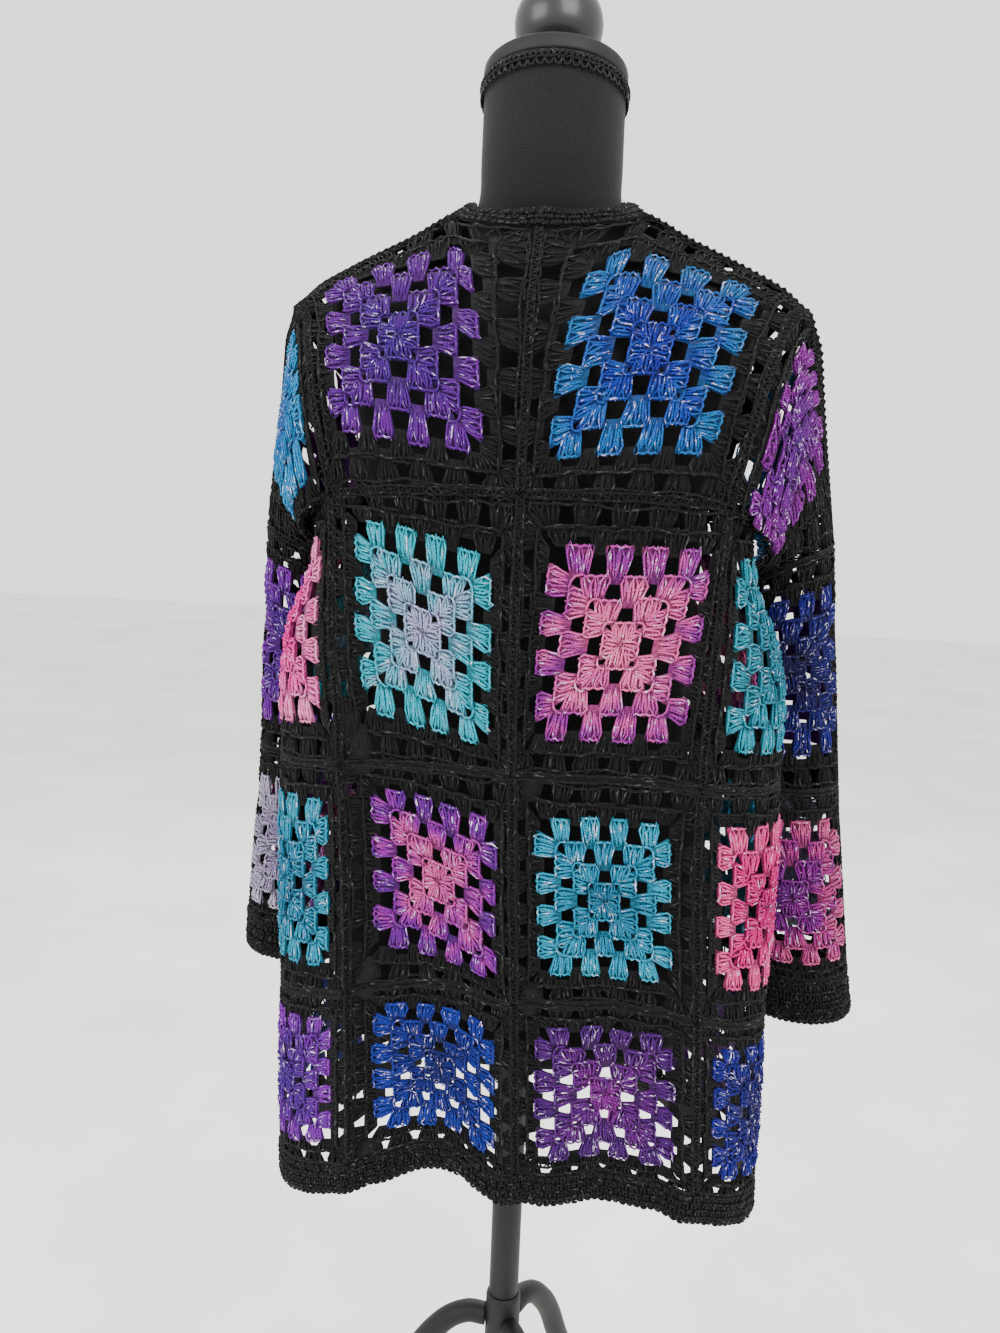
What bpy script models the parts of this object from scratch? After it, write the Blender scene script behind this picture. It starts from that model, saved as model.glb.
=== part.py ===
"""Granny square cardigan on a dress form.

Black crochet squares with coloured middles are joined in rows: a yoke of four, three body rows of
six and two sleeves of six, edged by narrow bands, open down the front. It hangs on a limbless
dress form with a turned knob, a pole and three curved legs. Metres, +Z up, back of the garment +Y,
the wearer's left +X, the floor at z = 0.
"""
import bpy
import bmesh
import math
import numpy as np
from mathutils import Vector

WALL = 0.003          # the crochet, thick as it hangs
SEAM = 0.0003         # between one piece and the next
BAND = 0.020          # width of the front bands
HEM_BAND = 0.024
NECK_BAND = 0.017

# A square's grid lines, across and down. Its holes lie between the close pairs.
ACROSS = DOWN = (0, 0.08, 0.135, 0.47, 0.53, 0.865, 0.92, 1)
YOKE_LINES = (0, 0.08, 0.135, 0.30, 0.47, 0.53, 0.70, 0.865, 0.92, 1)
SLEEVE_BACK = (0, 0.08, 0.135, 0.24, 0.355, 0.47, 0.53, 0.63, 0.71, 0.79, 0.865, 0.92, 1)
SLEEVE_FRONT = (0, 0.08, 0.135, 0.22, 0.30, 0.385, 0.47, 0.53, 0.63, 0.71, 0.79, 0.865, 0.92, 1)
NECK_AT = 0.30        # where the neckline ends on the top edge of a back yoke square
UNDERARM_AT = 0.47    # where the sleeve's inner join meets the top of a side square
NEAR, MIDDLE, FAR = (0.08, 0.135), (0.47, 0.53), (0.865, 0.92)
HOLES = ((NEAR, NEAR), (FAR, NEAR), (NEAR, FAR), (FAR, FAR),
         (MIDDLE, NEAR), (MIDDLE, FAR), (NEAR, MIDDLE), (FAR, MIDDLE))


def table(columns, *rows):
    """Rows of numbers as arrays by column name."""
    return {name: np.array([row[i] for row in rows], float) for i, name in enumerate(columns.split())}


# The body's level lines, from the underarm (0) to the hem (3). join_1 to join_3 are arc lengths from
# centre back to where columns meet and to the front edge; flutes are how far a column sinks, turn is
# how far the back hangs round to the wearer's right, and left is the left side's share of the width.
LEVELS = table(
    "level height side_drop half_width back front join_1 join_2 join_3 flute turn left",
    (0.0, 1.100, 0.012, 0.172, 0.138, -0.126, 0.158, 0.290, 0.412, 0.000, 0.000, 1.000),
    (0.25, 1.048, 0.012, 0.178, 0.140, -0.132, 0.153, 0.287, 0.418, 0.001, 0.000, 0.995),
    (0.5, 0.997, 0.012, 0.199, 0.142, -0.136, 0.147, 0.286, 0.424, 0.002, 0.000, 0.985),
    (1.0, 0.895, 0.013, 0.208, 0.145, -0.138, 0.140, 0.281, 0.423, 0.005, 0.003, 0.964),
    (2.0, 0.717, 0.030, 0.210, 0.146, -0.138, 0.141, 0.281, 0.422, 0.010, 0.011, 0.949),
    (3.0, 0.548, 0.040, 0.211, 0.146, -0.140, 0.145, 0.286, 0.427, 0.018, 0.018, 0.936),
)
SECTION_Y = 0.035     # where the body is widest
BACK_POWER, FRONT_POWER = 2.6, 1.8
# How much of the level's flute each column has; below zero it stands out.
FLUTES = {"back": 0.7, "side": -0.25, "front": 0.6}
DEEP_FLUTE = 1.7      # the wearer's left back column, the deepest
DEEP_LIFT = 0.008     # and how far that lifts its hem

# Edge curves of the yoke: a row for each point, at its share of the edge's length.
YOKE_BACK_TOP = table(
    "share x y z",
    (0.00, 0.000, 0.079, 1.296),
    (0.08, 0.030, 0.0755, 1.2975),
    (0.135, 0.053, 0.060, 1.304),
    (0.30, 0.079, 0.004, 1.322),
    (0.47, 0.111, -0.002, 1.307),
    (0.70, 0.155, -0.004, 1.287),
    (1.00, 0.217, -0.004, 1.255),
)
YOKE_BACK_MIDDLE = table(
    "share y z",
    (0.0, 0.138, 1.100),
    (0.3, 0.137, 1.165),
    (0.6, 0.124, 1.230),
    (1.0, 0.079, 1.296),
)
ARMHOLE_BACK = table(
    "share x y z",
    (0.00, 0.1465, 0.1015, 1.0965),
    (0.15, 0.152, 0.105, 1.124),
    (0.38, 0.163, 0.101, 1.166),
    (0.65, 0.180, 0.066, 1.216),
    (0.85, 0.197, 0.027, 1.246),
    (1.00, 0.217, -0.004, 1.255),
)
ARMHOLE_FRONT = table(
    "share x y z",
    (0.00, 0.166, -0.026, 1.088),
    (0.20, 0.157, -0.062, 1.120),
    (0.50, 0.166, -0.080, 1.175),
    (0.80, 0.193, -0.040, 1.236),
    (1.00, 0.217, -0.004, 1.255),
)
FRONT_EDGE = table(
    "share x y z",
    (0.00, 0.083, -0.108, 1.088),
    (0.35, 0.084, -0.110, 1.172),
    (0.70, 0.080, -0.074, 1.260),
    (1.00, 0.079, 0.004, 1.322),
)
# The sleeve's rings below the armhole, from the first join (1) to the cuff's edge (4).
RINGS = table(
    "level height x right_x y half_width half_depth inner_drop right_drop",
    (1.0, 1.068, 0.2090, 0.2145, -0.046, 0.038, 0.055, 0.030, 0.000),
    (1.5, 0.960, 0.2170, 0.2240, -0.073, 0.045, 0.049, 0.012, 0.003),
    (2.0, 0.852, 0.2210, 0.2340, -0.088, 0.050, 0.047, 0.000, 0.005),
    (3.0, 0.676, 0.2350, 0.2580, -0.094, 0.051, 0.048, 0.000, 0.011),
    (4.0, 0.640, 0.2370, 0.2660, -0.095, 0.050, 0.047, 0.000, 0.016),
)
CENTRE = Vector((0.0143, 0, 0))       # moves the whole so that its box is centred
PALETTE = {"violet": "#5a1fb0", "blue": "#2b4fc8", "pink": "#e2679f", "teal": "#2fb3c6",
           "magenta": "#b653b8", "turquoise": "#1590b0", "royal": "#2450d8", "indigo": "#2a2e9a",
           "plum": "#6d2390", "sky": "#5aa6d8", "mist": "#c9c4dc", "black": "#1a1a1a"}


def curve(rows, column, share):
    """A smooth line through a table's column, which is counted by share or by level."""
    x, y = rows["share" if "share" in rows else "level"], rows[column]
    slopes = np.gradient(y, x)
    i = int(np.clip(np.searchsorted(x, share) - 1, 0, len(x) - 2))
    h = x[i + 1] - x[i]
    t = (share - x[i]) / h
    return ((1 + 2 * t) * (1 - t) ** 2 * y[i] + t * (1 - t) ** 2 * h * slopes[i]
            + t * t * (3 - 2 * t) * y[i + 1] + t * t * (t - 1) * h * slopes[i + 1])


def point_on(rows, share):
    return np.array([curve(rows, axis, share) for axis in "xyz"])


SWELL = np.array([-0.004, 0, 0.012])  # how far the sleeve's top stands off a straight line
SAG = np.array([0.024, 0, 0])         # and its underarm

# The dress form's rings, from its underside to the top of its neck; tilt is height for depth.
FORM_SIDES = 30
FORM = table(
    "level height half_width back front power tilt",
    (0, 0.640, 0.158, 0.106, -0.098, 2.1, 0),
    (1, 0.660, 0.163, 0.112, -0.104, 2.1, 0),
    (2, 0.720, 0.166, 0.117, -0.108, 2.1, 0),
    (3, 0.800, 0.158, 0.110, -0.103, 2.1, 0),
    (4, 0.880, 0.141, 0.095, -0.094, 2.1, 0),
    (5, 0.940, 0.131, 0.088, -0.090, 2.1, 0),
    (6, 1.000, 0.136, 0.094, -0.100, 2.1, 0),
    (7, 1.060, 0.140, 0.106, -0.112, 2.1, 0),
    (8, 1.110, 0.144, 0.115, -0.112, 2.1, 0),
    (9, 1.160, 0.152, 0.117, -0.104, 2.1, 0),
    (10, 1.200, 0.166, 0.108, -0.090, 2.1, 0),
    (11, 1.230, 0.178, 0.090, -0.068, 2.1, 0),
    (12, 1.250, 0.180, 0.072, -0.050, 2.0, 0),
    (13, 1.270, 0.160, 0.055, -0.040, 2.0, 0),
    (14, 1.290, 0.122, 0.042, -0.031, 2.0, 0),
    (15, 1.305, 0.088, 0.036, -0.028, 2.0, 0),
    (16, 1.318, 0.065, 0.046, -0.040, 2.0, 0),
    (17, 1.335, 0.0575, 0.052, -0.048, 2.0, 0.03),
    (18, 1.360, 0.0570, 0.0580, -0.0520, 2.0, 0.08),
    (19, 1.400, 0.0565, 0.0592, -0.0538, 2.0, 0.14),
    (20, 1.419, 0.0565, 0.0565, -0.0565, 2.0, 0.14),
)
NECK_Y, NECK_TOP = 0.0, 1.4193
TILT = math.atan(0.14)
TRIM_IN = 0.0572
TURNED_SIDES = 22
POLE_RADIUS = 0.014
HUB_BOTTOM, HUB_TOP = 0.272, 0.346
LEG_RADIUS = 0.010
LEG_TURN = math.radians(120)
LEG = table(
    "share out height width",
    (0.0, 0.0168, 0.318, 1.0),
    (0.1, 0.036, 0.318, 1.0),
    (0.2, 0.068, 0.292, 1.1),
    (0.4, 0.104, 0.222, 1.1),
    (0.7, 0.160, 0.100, 1.0),
    (0.9, 0.212, 0.035, 1.1),
    (1.0, 0.250, 0.0225, 1.2),
)
PAD_RADIUS, PAD_HEIGHT = 0.016, 0.0123

section_cache = {}


def section(level):
    """Points round one side of the body from centre back to centre front, and the arc to each."""
    key = round(level, 6)
    if key not in section_cache:
        wide = curve(LEVELS, "half_width", level)
        back, front = curve(LEVELS, "back", level) - SECTION_Y, curve(LEVELS, "front", level) - SECTION_Y
        turn = np.linspace(0, math.pi, 721)
        behind = turn <= math.pi / 2
        power = np.where(behind, 2 / BACK_POWER, 2 / FRONT_POWER)
        x = wide * np.abs(np.sin(turn)) ** power
        y = SECTION_Y + np.where(behind, back, front) * np.abs(np.cos(turn)) ** power
        arc = np.concatenate([[0], np.cumsum(np.hypot(np.diff(x), np.diff(y)))])
        section_cache[key] = (x, y, arc)
    return section_cache[key]


def body_point(column, level):
    """A point of the body: columns counted from centre back, above zero on the wearer's left."""
    side, s = (1 if column >= 0 else -1), abs(column)
    joins = [0.0] + [curve(LEVELS, f"join_{k}", level) for k in (1, 2, 3)]
    k = min(int(s), 2)
    at = joins[k] + (s - k) * (joins[k + 1] - joins[k])
    x, y, arc = section(level)
    left = curve(LEVELS, "left", level)

    def on_arc(a):
        across = np.interp(abs(a), arc, x)
        return np.array([across * left if a > 0 else -across, np.interp(abs(a), arc, y)])
    at = side * at - curve(LEVELS, "turn", level) * (1 - np.clip((s - 1) / 2, 0, 1) ** 2)
    along = on_arc(at + 0.002) - on_arc(at - 0.002)
    outward = np.array([-along[1], along[0]]) / np.linalg.norm(along)
    deep = 0 < column < 1
    wave = math.sin(math.pi * min(s - k, 1)) ** 2
    sink = FLUTES[("back", "side", "front")[k]] * (DEEP_FLUTE if deep else 1) * curve(LEVELS, "flute", level)
    place = on_arc(at) - outward * sink * wave
    drop = np.clip((s - 0.5) / 1.2, 0, 1)
    z = curve(LEVELS, "height", level) - curve(LEVELS, "side_drop", level) * drop * drop * (3 - 2 * drop)
    return np.array([place[0], place[1], z + (DEEP_LIFT * wave * (level / 3) ** 2 if deep else 0)])


def coons(bottom, top, inner, outer, u, v):
    """A point of the patch that four edge curves span; the top edge's bends fade early."""
    w = v * v
    corners = ((1 - u) * (1 - w) * bottom(0) + u * (1 - w) * bottom(1)
               + (1 - u) * w * top(0) + u * w * top(1))
    return (1 - w) * bottom(u) + w * top(u) + (1 - u) * inner(v) + u * outer(v) - corners


def armhole(rows, start, v):
    """The armhole's edge, moved to begin where the body's join ends."""
    return point_on(rows, v) + (1 - v) ** 2 * (start - point_on(rows, 0))


def chord(side, k, across, level):
    """A point of a body column's level line, taken straight between the square's grid lines."""
    i = min(max(i for i, a in enumerate(ACROSS) if a <= across + 1e-9), len(ACROSS) - 2)
    t = (across - ACROSS[i]) / (ACROSS[i + 1] - ACROSS[i])
    ends = [body_point(side * max(k + a, 1e-6), level) for a in (ACROSS[i], ACROSS[i + 1])]
    return (1 - t) * ends[0] + t * ends[1]


def yoke_back(u, v):
    start = body_point(1, 0)
    return coons(
        lambda a: body_point(a, 0),
        lambda a: point_on(YOKE_BACK_TOP, a),
        lambda b: np.array([0, curve(YOKE_BACK_MIDDLE, "y", b), curve(YOKE_BACK_MIDDLE, "z", b)]),
        lambda b: armhole(ARMHOLE_BACK, start, b), u, v)


def shoulder(share):
    """The shoulder seam from the neck, straight between the back yoke's grid lines."""
    at = NECK_AT + share * (1 - NECK_AT)
    lines = [a for a in YOKE_LINES if a >= NECK_AT - 1e-9]
    k = min(max(i for i, a in enumerate(lines) if a <= at + 1e-9), len(lines) - 2)
    t = (at - lines[k]) / (lines[k + 1] - lines[k])
    return (1 - t) * point_on(YOKE_BACK_TOP, lines[k]) + t * point_on(YOKE_BACK_TOP, lines[k + 1])


def yoke_front(u, v):
    """u runs from the armhole to the front edge."""
    start, end = body_point(2, 0), body_point(3, 0)
    return coons(
        lambda a: body_point(2 + a, 0),
        lambda a: shoulder(1 - a),
        lambda b: armhole(ARMHOLE_FRONT, start, b),
        lambda b: armhole(FRONT_EDGE, end, b), u, v)


def mirrored(points, side):
    return points * np.array([side, 1, 1])


def ring(level, turn, side):
    """A point of a sleeve's ring: turn 0 outside, 0.25 behind, 0.5 inside, 0.75 in front."""
    a = 2 * math.pi * turn
    z = curve(RINGS, "height", level) - curve(RINGS, "inner_drop", level) * (1 - math.cos(a)) / 2
    if side < 0:
        z -= curve(RINGS, "right_drop", level)
    x = curve(RINGS, "x" if side > 0 else "right_x", level)
    return np.array([side * (x + curve(RINGS, "half_width", level) * math.cos(a)),
                     curve(RINGS, "y", level) + curve(RINGS, "half_depth", level) * math.sin(a), z])


# Pieces of crochet: a grid of points each, and the cells of it that are gaps.

panels = {}


def add_panel(name, rows, colour, inside, holes=()):
    """Keeps a piece's grid of points, turned so that its faces look away from the inside."""
    points, cells = np.array(rows, float), set(holes)
    across, down = points[:-1, 1:] - points[:-1, :-1], points[1:, :-1] - points[:-1, :-1]
    away = points[:-1, :-1] - np.array([[inside(p) for p in row[:-1]] for row in points[:-1]])
    if (np.cross(across, down) * away).sum() < 0:
        points = points[:, ::-1]
        cells = {(row, points.shape[1] - 2 - column) for row, column in cells}
    panels[name] = {"points": points, "colour": colour, "holes": cells}


def in_torso(p):
    return np.array([p[0] * 0.5, p[1] * 0.5, p[2] - 0.05])


def grid(point, across, down):
    return [[point(a, d) for a in across] for d in down]


def holes_in(across, down):
    """The grid cells that are gaps: at the corners, and in the middle of each edge."""
    return {(down.index(tall[0]), across.index(wide[0])) for wide, tall in HOLES}


def hem_top():
    """The level at which the lowest squares end and the hem band begins."""
    return 3 - HEM_BAND / (curve(LEVELS, "height", 2) - curve(LEVELS, "height", 3))


def body_squares():
    colours = {  # by column from centre back: the wearer's left, then the right
        1: ("teal", "pink", "pink", "teal", "teal", "pink"),
        2: ("pink", "turquoise", "turquoise", "pink", "pink", "turquoise"),
        3: ("royal", "plum", "violet", "indigo", "royal", "plum"),
    }
    for row, names in colours.items():
        first, last = row - 1, hem_top() if row == 3 else row
        for k, place in enumerate(("back", "side", "front")):
            for side, word in ((1, "left"), (-1, "right")):
                lines = YOKE_LINES if row == 1 and place != "side" else ACROSS

                def point(across, down, k=k, side=side, first=first, last=last):
                    column = side * max(k + across, 1e-6)
                    moved = chord(side, k, across, last) - body_point(column, last)
                    return body_point(column, first + down * (last - first)) + down ** 4 * moved
                add_panel(f"{place}_{word}_row_{row}", grid(point, lines, DOWN),
                          names[2 * k + (side < 0)], in_torso, holes_in(lines, DOWN))


def yoke_squares():
    """Four squares that meet in shoulder seams; the front ones are counted from the armhole."""
    shares = [(a - NECK_AT) / (1 - NECK_AT) for a in YOKE_LINES if a >= NECK_AT - 1e-9]
    top = sorted(shares + [(shares[i] + shares[i + 1]) / 2 for i in (0, 2, 3)])
    for side, word, back, front in ((1, "left", "violet", "blue"), (-1, "right", "blue", "violet")):
        def behind(across, down, side=side):
            return mirrored(yoke_back(across, 1 - down), side)

        def before(across, down, side=side):
            moved = shoulder(top[-1 - YOKE_LINES.index(across)]) - shoulder(1 - across)
            return mirrored(yoke_front(across, 1 - down) + (1 - down) ** 2 * moved, side)
        gaps = holes_in(YOKE_LINES, YOKE_LINES)
        add_panel(f"yoke_back_{word}", grid(behind, YOKE_LINES, YOKE_LINES), back, in_torso, gaps)
        add_panel(f"yoke_front_{word}", grid(before, YOKE_LINES, YOKE_LINES), front, in_torso, gaps)


def armhole_ring():
    """The armhole's points, back half then front half, at the grid lines of what they join."""
    back = [yoke_back(1, 1 - d) for d in YOKE_LINES]
    back += [body_point(1 + a, 0) for a in ACROSS[1:] if a <= UNDERARM_AT]
    front = [body_point(1 + a, 0) for a in ACROSS if a >= UNDERARM_AT]
    front += [yoke_front(0, 1 - d) for d in YOKE_LINES[::-1][1:]]
    return back, front


def sleeve_squares():
    """Three rings of two squares each; the first is lofted from the armhole to the first join."""
    halves = zip(("back", "front"), (SLEEVE_BACK, SLEEVE_FRONT), armhole_ring(), (0.0, 0.5))
    colours = {"left": (("sky", "magenta"), ("violet", "royal"), ("mist", "pink")),
               "right": (("magenta", "sky"), ("royal", "violet"), ("pink", "mist"))}
    for half, lines, top, first in halves:
        for side, word in ((1, "left"), (-1, "right")):
            def upper(across, down, side=side, lines=lines, top=top, first=first):
                start, turn = top[lines.index(across)], first + across / 2
                outside = (1 + math.cos(2 * math.pi * turn)) / 2
                swell = (SWELL * outside + SAG * (1 - outside)) * math.sin(math.pi * down)
                ease = np.array([down, down ** 1.7, down])
                end = mirrored(ring(1, turn, side), side)
                return mirrored(start + (end - start) * ease + swell, side)
            add_panel(f"sleeve_{word}_{half}_row_1", grid(upper, lines, DOWN),
                      colours[word][0][half == "front"], in_sleeve, holes_in(lines, DOWN))
            for row in (2, 3):
                def lower(across, down, side=side, row=row, first=first):
                    return ring(row - 1 + down, first + across / 2, side)
                add_panel(f"sleeve_{word}_{half}_row_{row}", grid(lower, lines, DOWN),
                          colours[word][row - 1][half == "front"], in_sleeve, holes_in(lines, DOWN))


def in_sleeve(p):
    level = np.interp(-p[2], -RINGS["height"], RINGS["level"])
    return np.array([math.copysign(curve(RINGS, "x", level), p[0]), curve(RINGS, "y", level), p[2]])


def cuffs():
    around = [a / 2 for a in SLEEVE_BACK[:-1]] + [0.5 + a / 2 for a in SLEEVE_FRONT]
    for side, word in ((1, "left"), (-1, "right")):
        def point(turn, down, side=side):
            return ring(3 + down, turn, side)
        add_panel(f"cuff_{word}", grid(point, around, (0, 0.5, 1)), "black", in_sleeve)


def neck_free(p):
    """Where the neck band's free edge lies above a point of the neckline."""
    radial = np.array([p[0], max(p[1], 0), 0]) / math.hypot(p[0], max(p[1], 0))
    return p - radial * NECK_BAND * 0.8 + np.array([0, 0, NECK_BAND * 0.6])


def bands():
    columns = [k + a for k in (0, 1, 2) for a in ACROSS[:-1]] + [3]
    columns = [-c for c in columns[:0:-1]] + columns
    levels = (hem_top(), (hem_top() + 3) / 2, 3)
    add_panel("hem_band", [[body_point(c, level) for c in columns] for level in levels], "black", in_torso)
    neckline = [a for a in YOKE_LINES if a <= NECK_AT]
    seam = [point_on(YOKE_BACK_TOP, a) for a in neckline]
    seam = [mirrored(p, -1) for p in seam[:0:-1]] + seam
    add_panel("neck_band", [[neck_free(p) for p in seam], seam], "black", in_torso)
    for side, word in ((1, "left"), (-1, "right")):
        edge, free = [], []
        for d in YOKE_LINES[:-1]:
            at, rise = yoke_front(1, 1 - d), max(0, 1 - d / 0.45)
            out = at - yoke_front(YOKE_LINES[-2], 1 - d)
            reach = (1 - rise) * (at + out * BAND / np.linalg.norm(out)) + rise * neck_free(at)
            edge.append(mirrored(at, side))
            free.append(mirrored(reach, side))
        for first, last, lines in ((0, 1, DOWN[:-1]), (1, 2, DOWN[:-1]), (2, hem_top(), DOWN[:-1]),
                                   (hem_top(), 3, (0, 0.5, 1))):
            for d in lines:
                level = first + d * (last - first)
                pitch = curve(LEVELS, "join_3", level) - curve(LEVELS, "join_2", level)
                edge.append(body_point(side * 3, level))
                free.append(body_point(side * (3 + BAND / pitch), level))
        add_panel(f"front_band_{word}", [edge, free], "black", in_torso)


# Solids

work = bpy.data.collections.new("granny_square_cardigan_on_dress_form")
materials = {}


def material(colour, hex_code, rough, metal=0.0):
    if colour not in materials:
        made = bpy.data.materials.new(colour)
        made.use_nodes = True
        shader = made.node_tree.nodes["Principled BSDF"]
        channels = [int(hex_code[i:i + 2], 16) / 255 for i in (1, 3, 5)]
        linear = [c / 12.92 if c < 0.04045 else ((c + 0.055) / 1.055) ** 2.4 for c in channels]
        shader.inputs["Base Color"].default_value = (*linear, 1)
        shader.inputs["Roughness"].default_value = rough
        shader.inputs["Metallic"].default_value = metal
        materials[colour] = made
    return materials[colour]


def keep(name, data, made):
    piece = bpy.data.objects.new(name, data)
    data.materials.append(made)
    work.objects.link(piece)
    return piece


def grid_normals(points):
    """Unit normals at a grid's points, from the lines through each."""
    across, down = np.gradient(points, axis=1), np.gradient(points, axis=0)
    out = np.cross(across, down)
    return out / np.linalg.norm(out, axis=2, keepdims=True)


def shared_normals():
    """Pieces that meet at a point lean the same way there, so their walls stay parted."""
    sums = {}
    for piece in panels.values():
        piece["normals"] = grid_normals(piece["points"])
        for p, n in zip(piece["points"].reshape(-1, 3), piece["normals"].reshape(-1, 3)):
            key = tuple(np.round(p, 5))
            sums[key] = sums.get(key, 0) + n
    for piece in panels.values():
        flat = [sums[tuple(np.round(p, 5))] for p in piece["points"].reshape(-1, 3)]
        normals = np.array(flat).reshape(piece["points"].shape)
        piece["normals"] = normals / np.linalg.norm(normals, axis=2, keepdims=True)
    for word in ("left", "right"):
        top = panels[f"yoke_front_{word}"]["normals"][0]
        for i in loose_points(word):
            top[i] = (top[i - 1] + top[i + 1]) / np.linalg.norm(top[i - 1] + top[i + 1])


def loose_points(word):
    """The front yoke's points on the shoulder seam that lie between the back yoke's."""
    points = panels[f"yoke_front_{word}"]["points"][0]
    back = {tuple(np.round(p, 5)) for p in panels[f"yoke_back_{word}"]["points"][0]}
    return [i for i, p in enumerate(points) if tuple(np.round(p, 5)) not in back]


def inset(points):
    """The grid with its border moved half a seam inwards."""
    moved = points.copy()
    for axis in (0, 1):
        for edge, next_in in ((0, 1), (-1, -2)):
            a, b = np.take(points, edge, axis), np.take(points, next_in, axis)
            step = (b - a) / np.linalg.norm(b - a, axis=1, keepdims=True) * SEAM / 2
            if axis:
                moved[:, edge] += step
            else:
                moved[edge] += step
    return moved


def crochet(name):
    """One piece as a closed wall round its gaps."""
    piece = panels[name]
    middle, normals, holes = inset(piece["points"]), piece["normals"], piece["holes"]
    rows, columns = middle.shape[:2]
    bm = bmesh.new()
    outer = [[bm.verts.new(p) for p in row] for row in middle + normals * WALL / 2]
    inner = [[bm.verts.new(p) for p in row] for row in middle - normals * WALL / 2]

    def cloth(row, column):
        return 0 <= row < rows - 1 and 0 <= column < columns - 1 and (row, column) not in holes
    for r in range(rows - 1):
        for c in range(columns - 1):
            if not cloth(r, c):
                continue
            around = ((r, c), (r + 1, c), (r + 1, c + 1), (r, c + 1))
            bm.faces.new([outer[i][j] for i, j in around[::-1]])
            bm.faces.new([inner[i][j] for i, j in around])
            for k, beyond in enumerate(((r, c - 1), (r + 1, c), (r, c + 1), (r - 1, c))):
                if not cloth(*beyond):
                    a, b = around[k], around[(k + 1) % 4]
                    edge = [outer[a[0]][a[1]], outer[b[0]][b[1]], inner[b[0]][b[1]], inner[a[0]][a[1]]]
                    first = 0 if tuple(piece["points"][a]) < tuple(piece["points"][b]) else 1
                    edge = edge[first:] + edge[:first]
                    bm.faces.new(edge[:3])
                    bm.faces.new((edge[0], edge[2], edge[3]))
    bmesh.ops.recalc_face_normals(bm, faces=bm.faces)
    data = bpy.data.meshes.new(name)
    bm.to_mesh(data)
    bm.free()
    keep(name, data, material(piece["colour"], PALETTE[piece["colour"]], 0.9))


# The dress form

def torso():
    bm = bmesh.new()
    rings = []
    for i in range(len(FORM["level"])):
        row = {name: FORM[name][i] for name in FORM}
        verts = []
        for k in range(FORM_SIDES):
            a = 2 * math.pi * k / FORM_SIDES
            c, s = math.cos(a), math.sin(a)
            x = row["half_width"] * math.copysign(abs(c) ** (2 / row["power"]), c)
            depth = row["back"] if s > 0 else -row["front"]
            y = depth * math.copysign(abs(s) ** (2 / row["power"]), s)
            verts.append(bm.verts.new((x, y, row["height"] + row["tilt"] * y)))
        rings.append(verts)
    for low, high in zip(rings, rings[1:]):
        for k in range(FORM_SIDES):
            m = (k + 1) % FORM_SIDES
            bm.faces.new((low[k], low[m], high[m], high[k]))
    bm.faces.new(rings[0][::-1])
    bm.faces.new(rings[-1])
    bmesh.ops.recalc_face_normals(bm, faces=bm.faces)
    data = bpy.data.meshes.new("torso")
    bm.to_mesh(data)
    bm.free()
    keep("torso", data, material("jersey", "#3b3b3c", 0.9))


def turned(name, profile, made, place, tilt=0.0, sides=None):
    """A closed profile of (radius, height) points spun round the piece's own axis."""
    data = bpy.data.meshes.new(name)
    verts = [(r, 0, z) for r, z in profile]
    closed = profile[0][0] > 0
    edges = [(i, i + 1) for i in range(len(verts) - 1)] + ([(len(verts) - 1, 0)] if closed else [])
    data.from_pydata(verts, edges, [])
    piece = keep(name, data, made)
    piece.location = place
    piece.rotation_euler = (tilt, 0, 0)
    screw = piece.modifiers.new("turn", "SCREW")
    screw.steps = screw.render_steps = sides or TURNED_SIDES
    screw.use_merge_vertices = True
    screw.merge_threshold = 0.00001
    screw.use_normal_calculate = True
    return piece


def rod(name, radius, low, high, made, place=(0, 0)):
    """An upright cylinder."""
    bm = bmesh.new()
    bmesh.ops.create_cone(bm, cap_ends=True, segments=TURNED_SIDES, radius1=radius, radius2=radius,
                          depth=high - low)
    data = bpy.data.meshes.new(name)
    bm.to_mesh(data)
    bm.free()
    keep(name, data, made).location = (*place, (low + high) / 2)


def leg(k):
    """One of the stand's curved legs, a tapering tube from the hub to a round foot."""
    line = bpy.data.curves.new(f"leg_{k + 1}", "CURVE")
    line.dimensions = "3D"
    line.bevel_depth = LEG_RADIUS
    line.bevel_resolution = 1
    line.resolution_u = 4
    line.use_fill_caps = True
    path = line.splines.new("BEZIER")
    path.bezier_points.add(len(LEG["out"]) - 1)
    turn = LEG_TURN + 2 * math.pi * k / 3
    for i, point in enumerate(path.bezier_points):
        out, high = LEG["out"][i], LEG["height"][i]
        point.co = (out * math.cos(turn), out * math.sin(turn), high)
        point.handle_left_type = point.handle_right_type = "AUTO"
        point.radius = LEG["width"][i]
    keep(line.name, line, material("stand", "#1d1d1e", 0.4))
    out = LEG["out"][-1] - PAD_RADIUS
    rod(f"foot_pad_{k + 1}", PAD_RADIUS, 0, PAD_HEIGHT, material("rubber", "#202020", 0.9),
        (out * math.cos(turn), out * math.sin(turn)))


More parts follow.
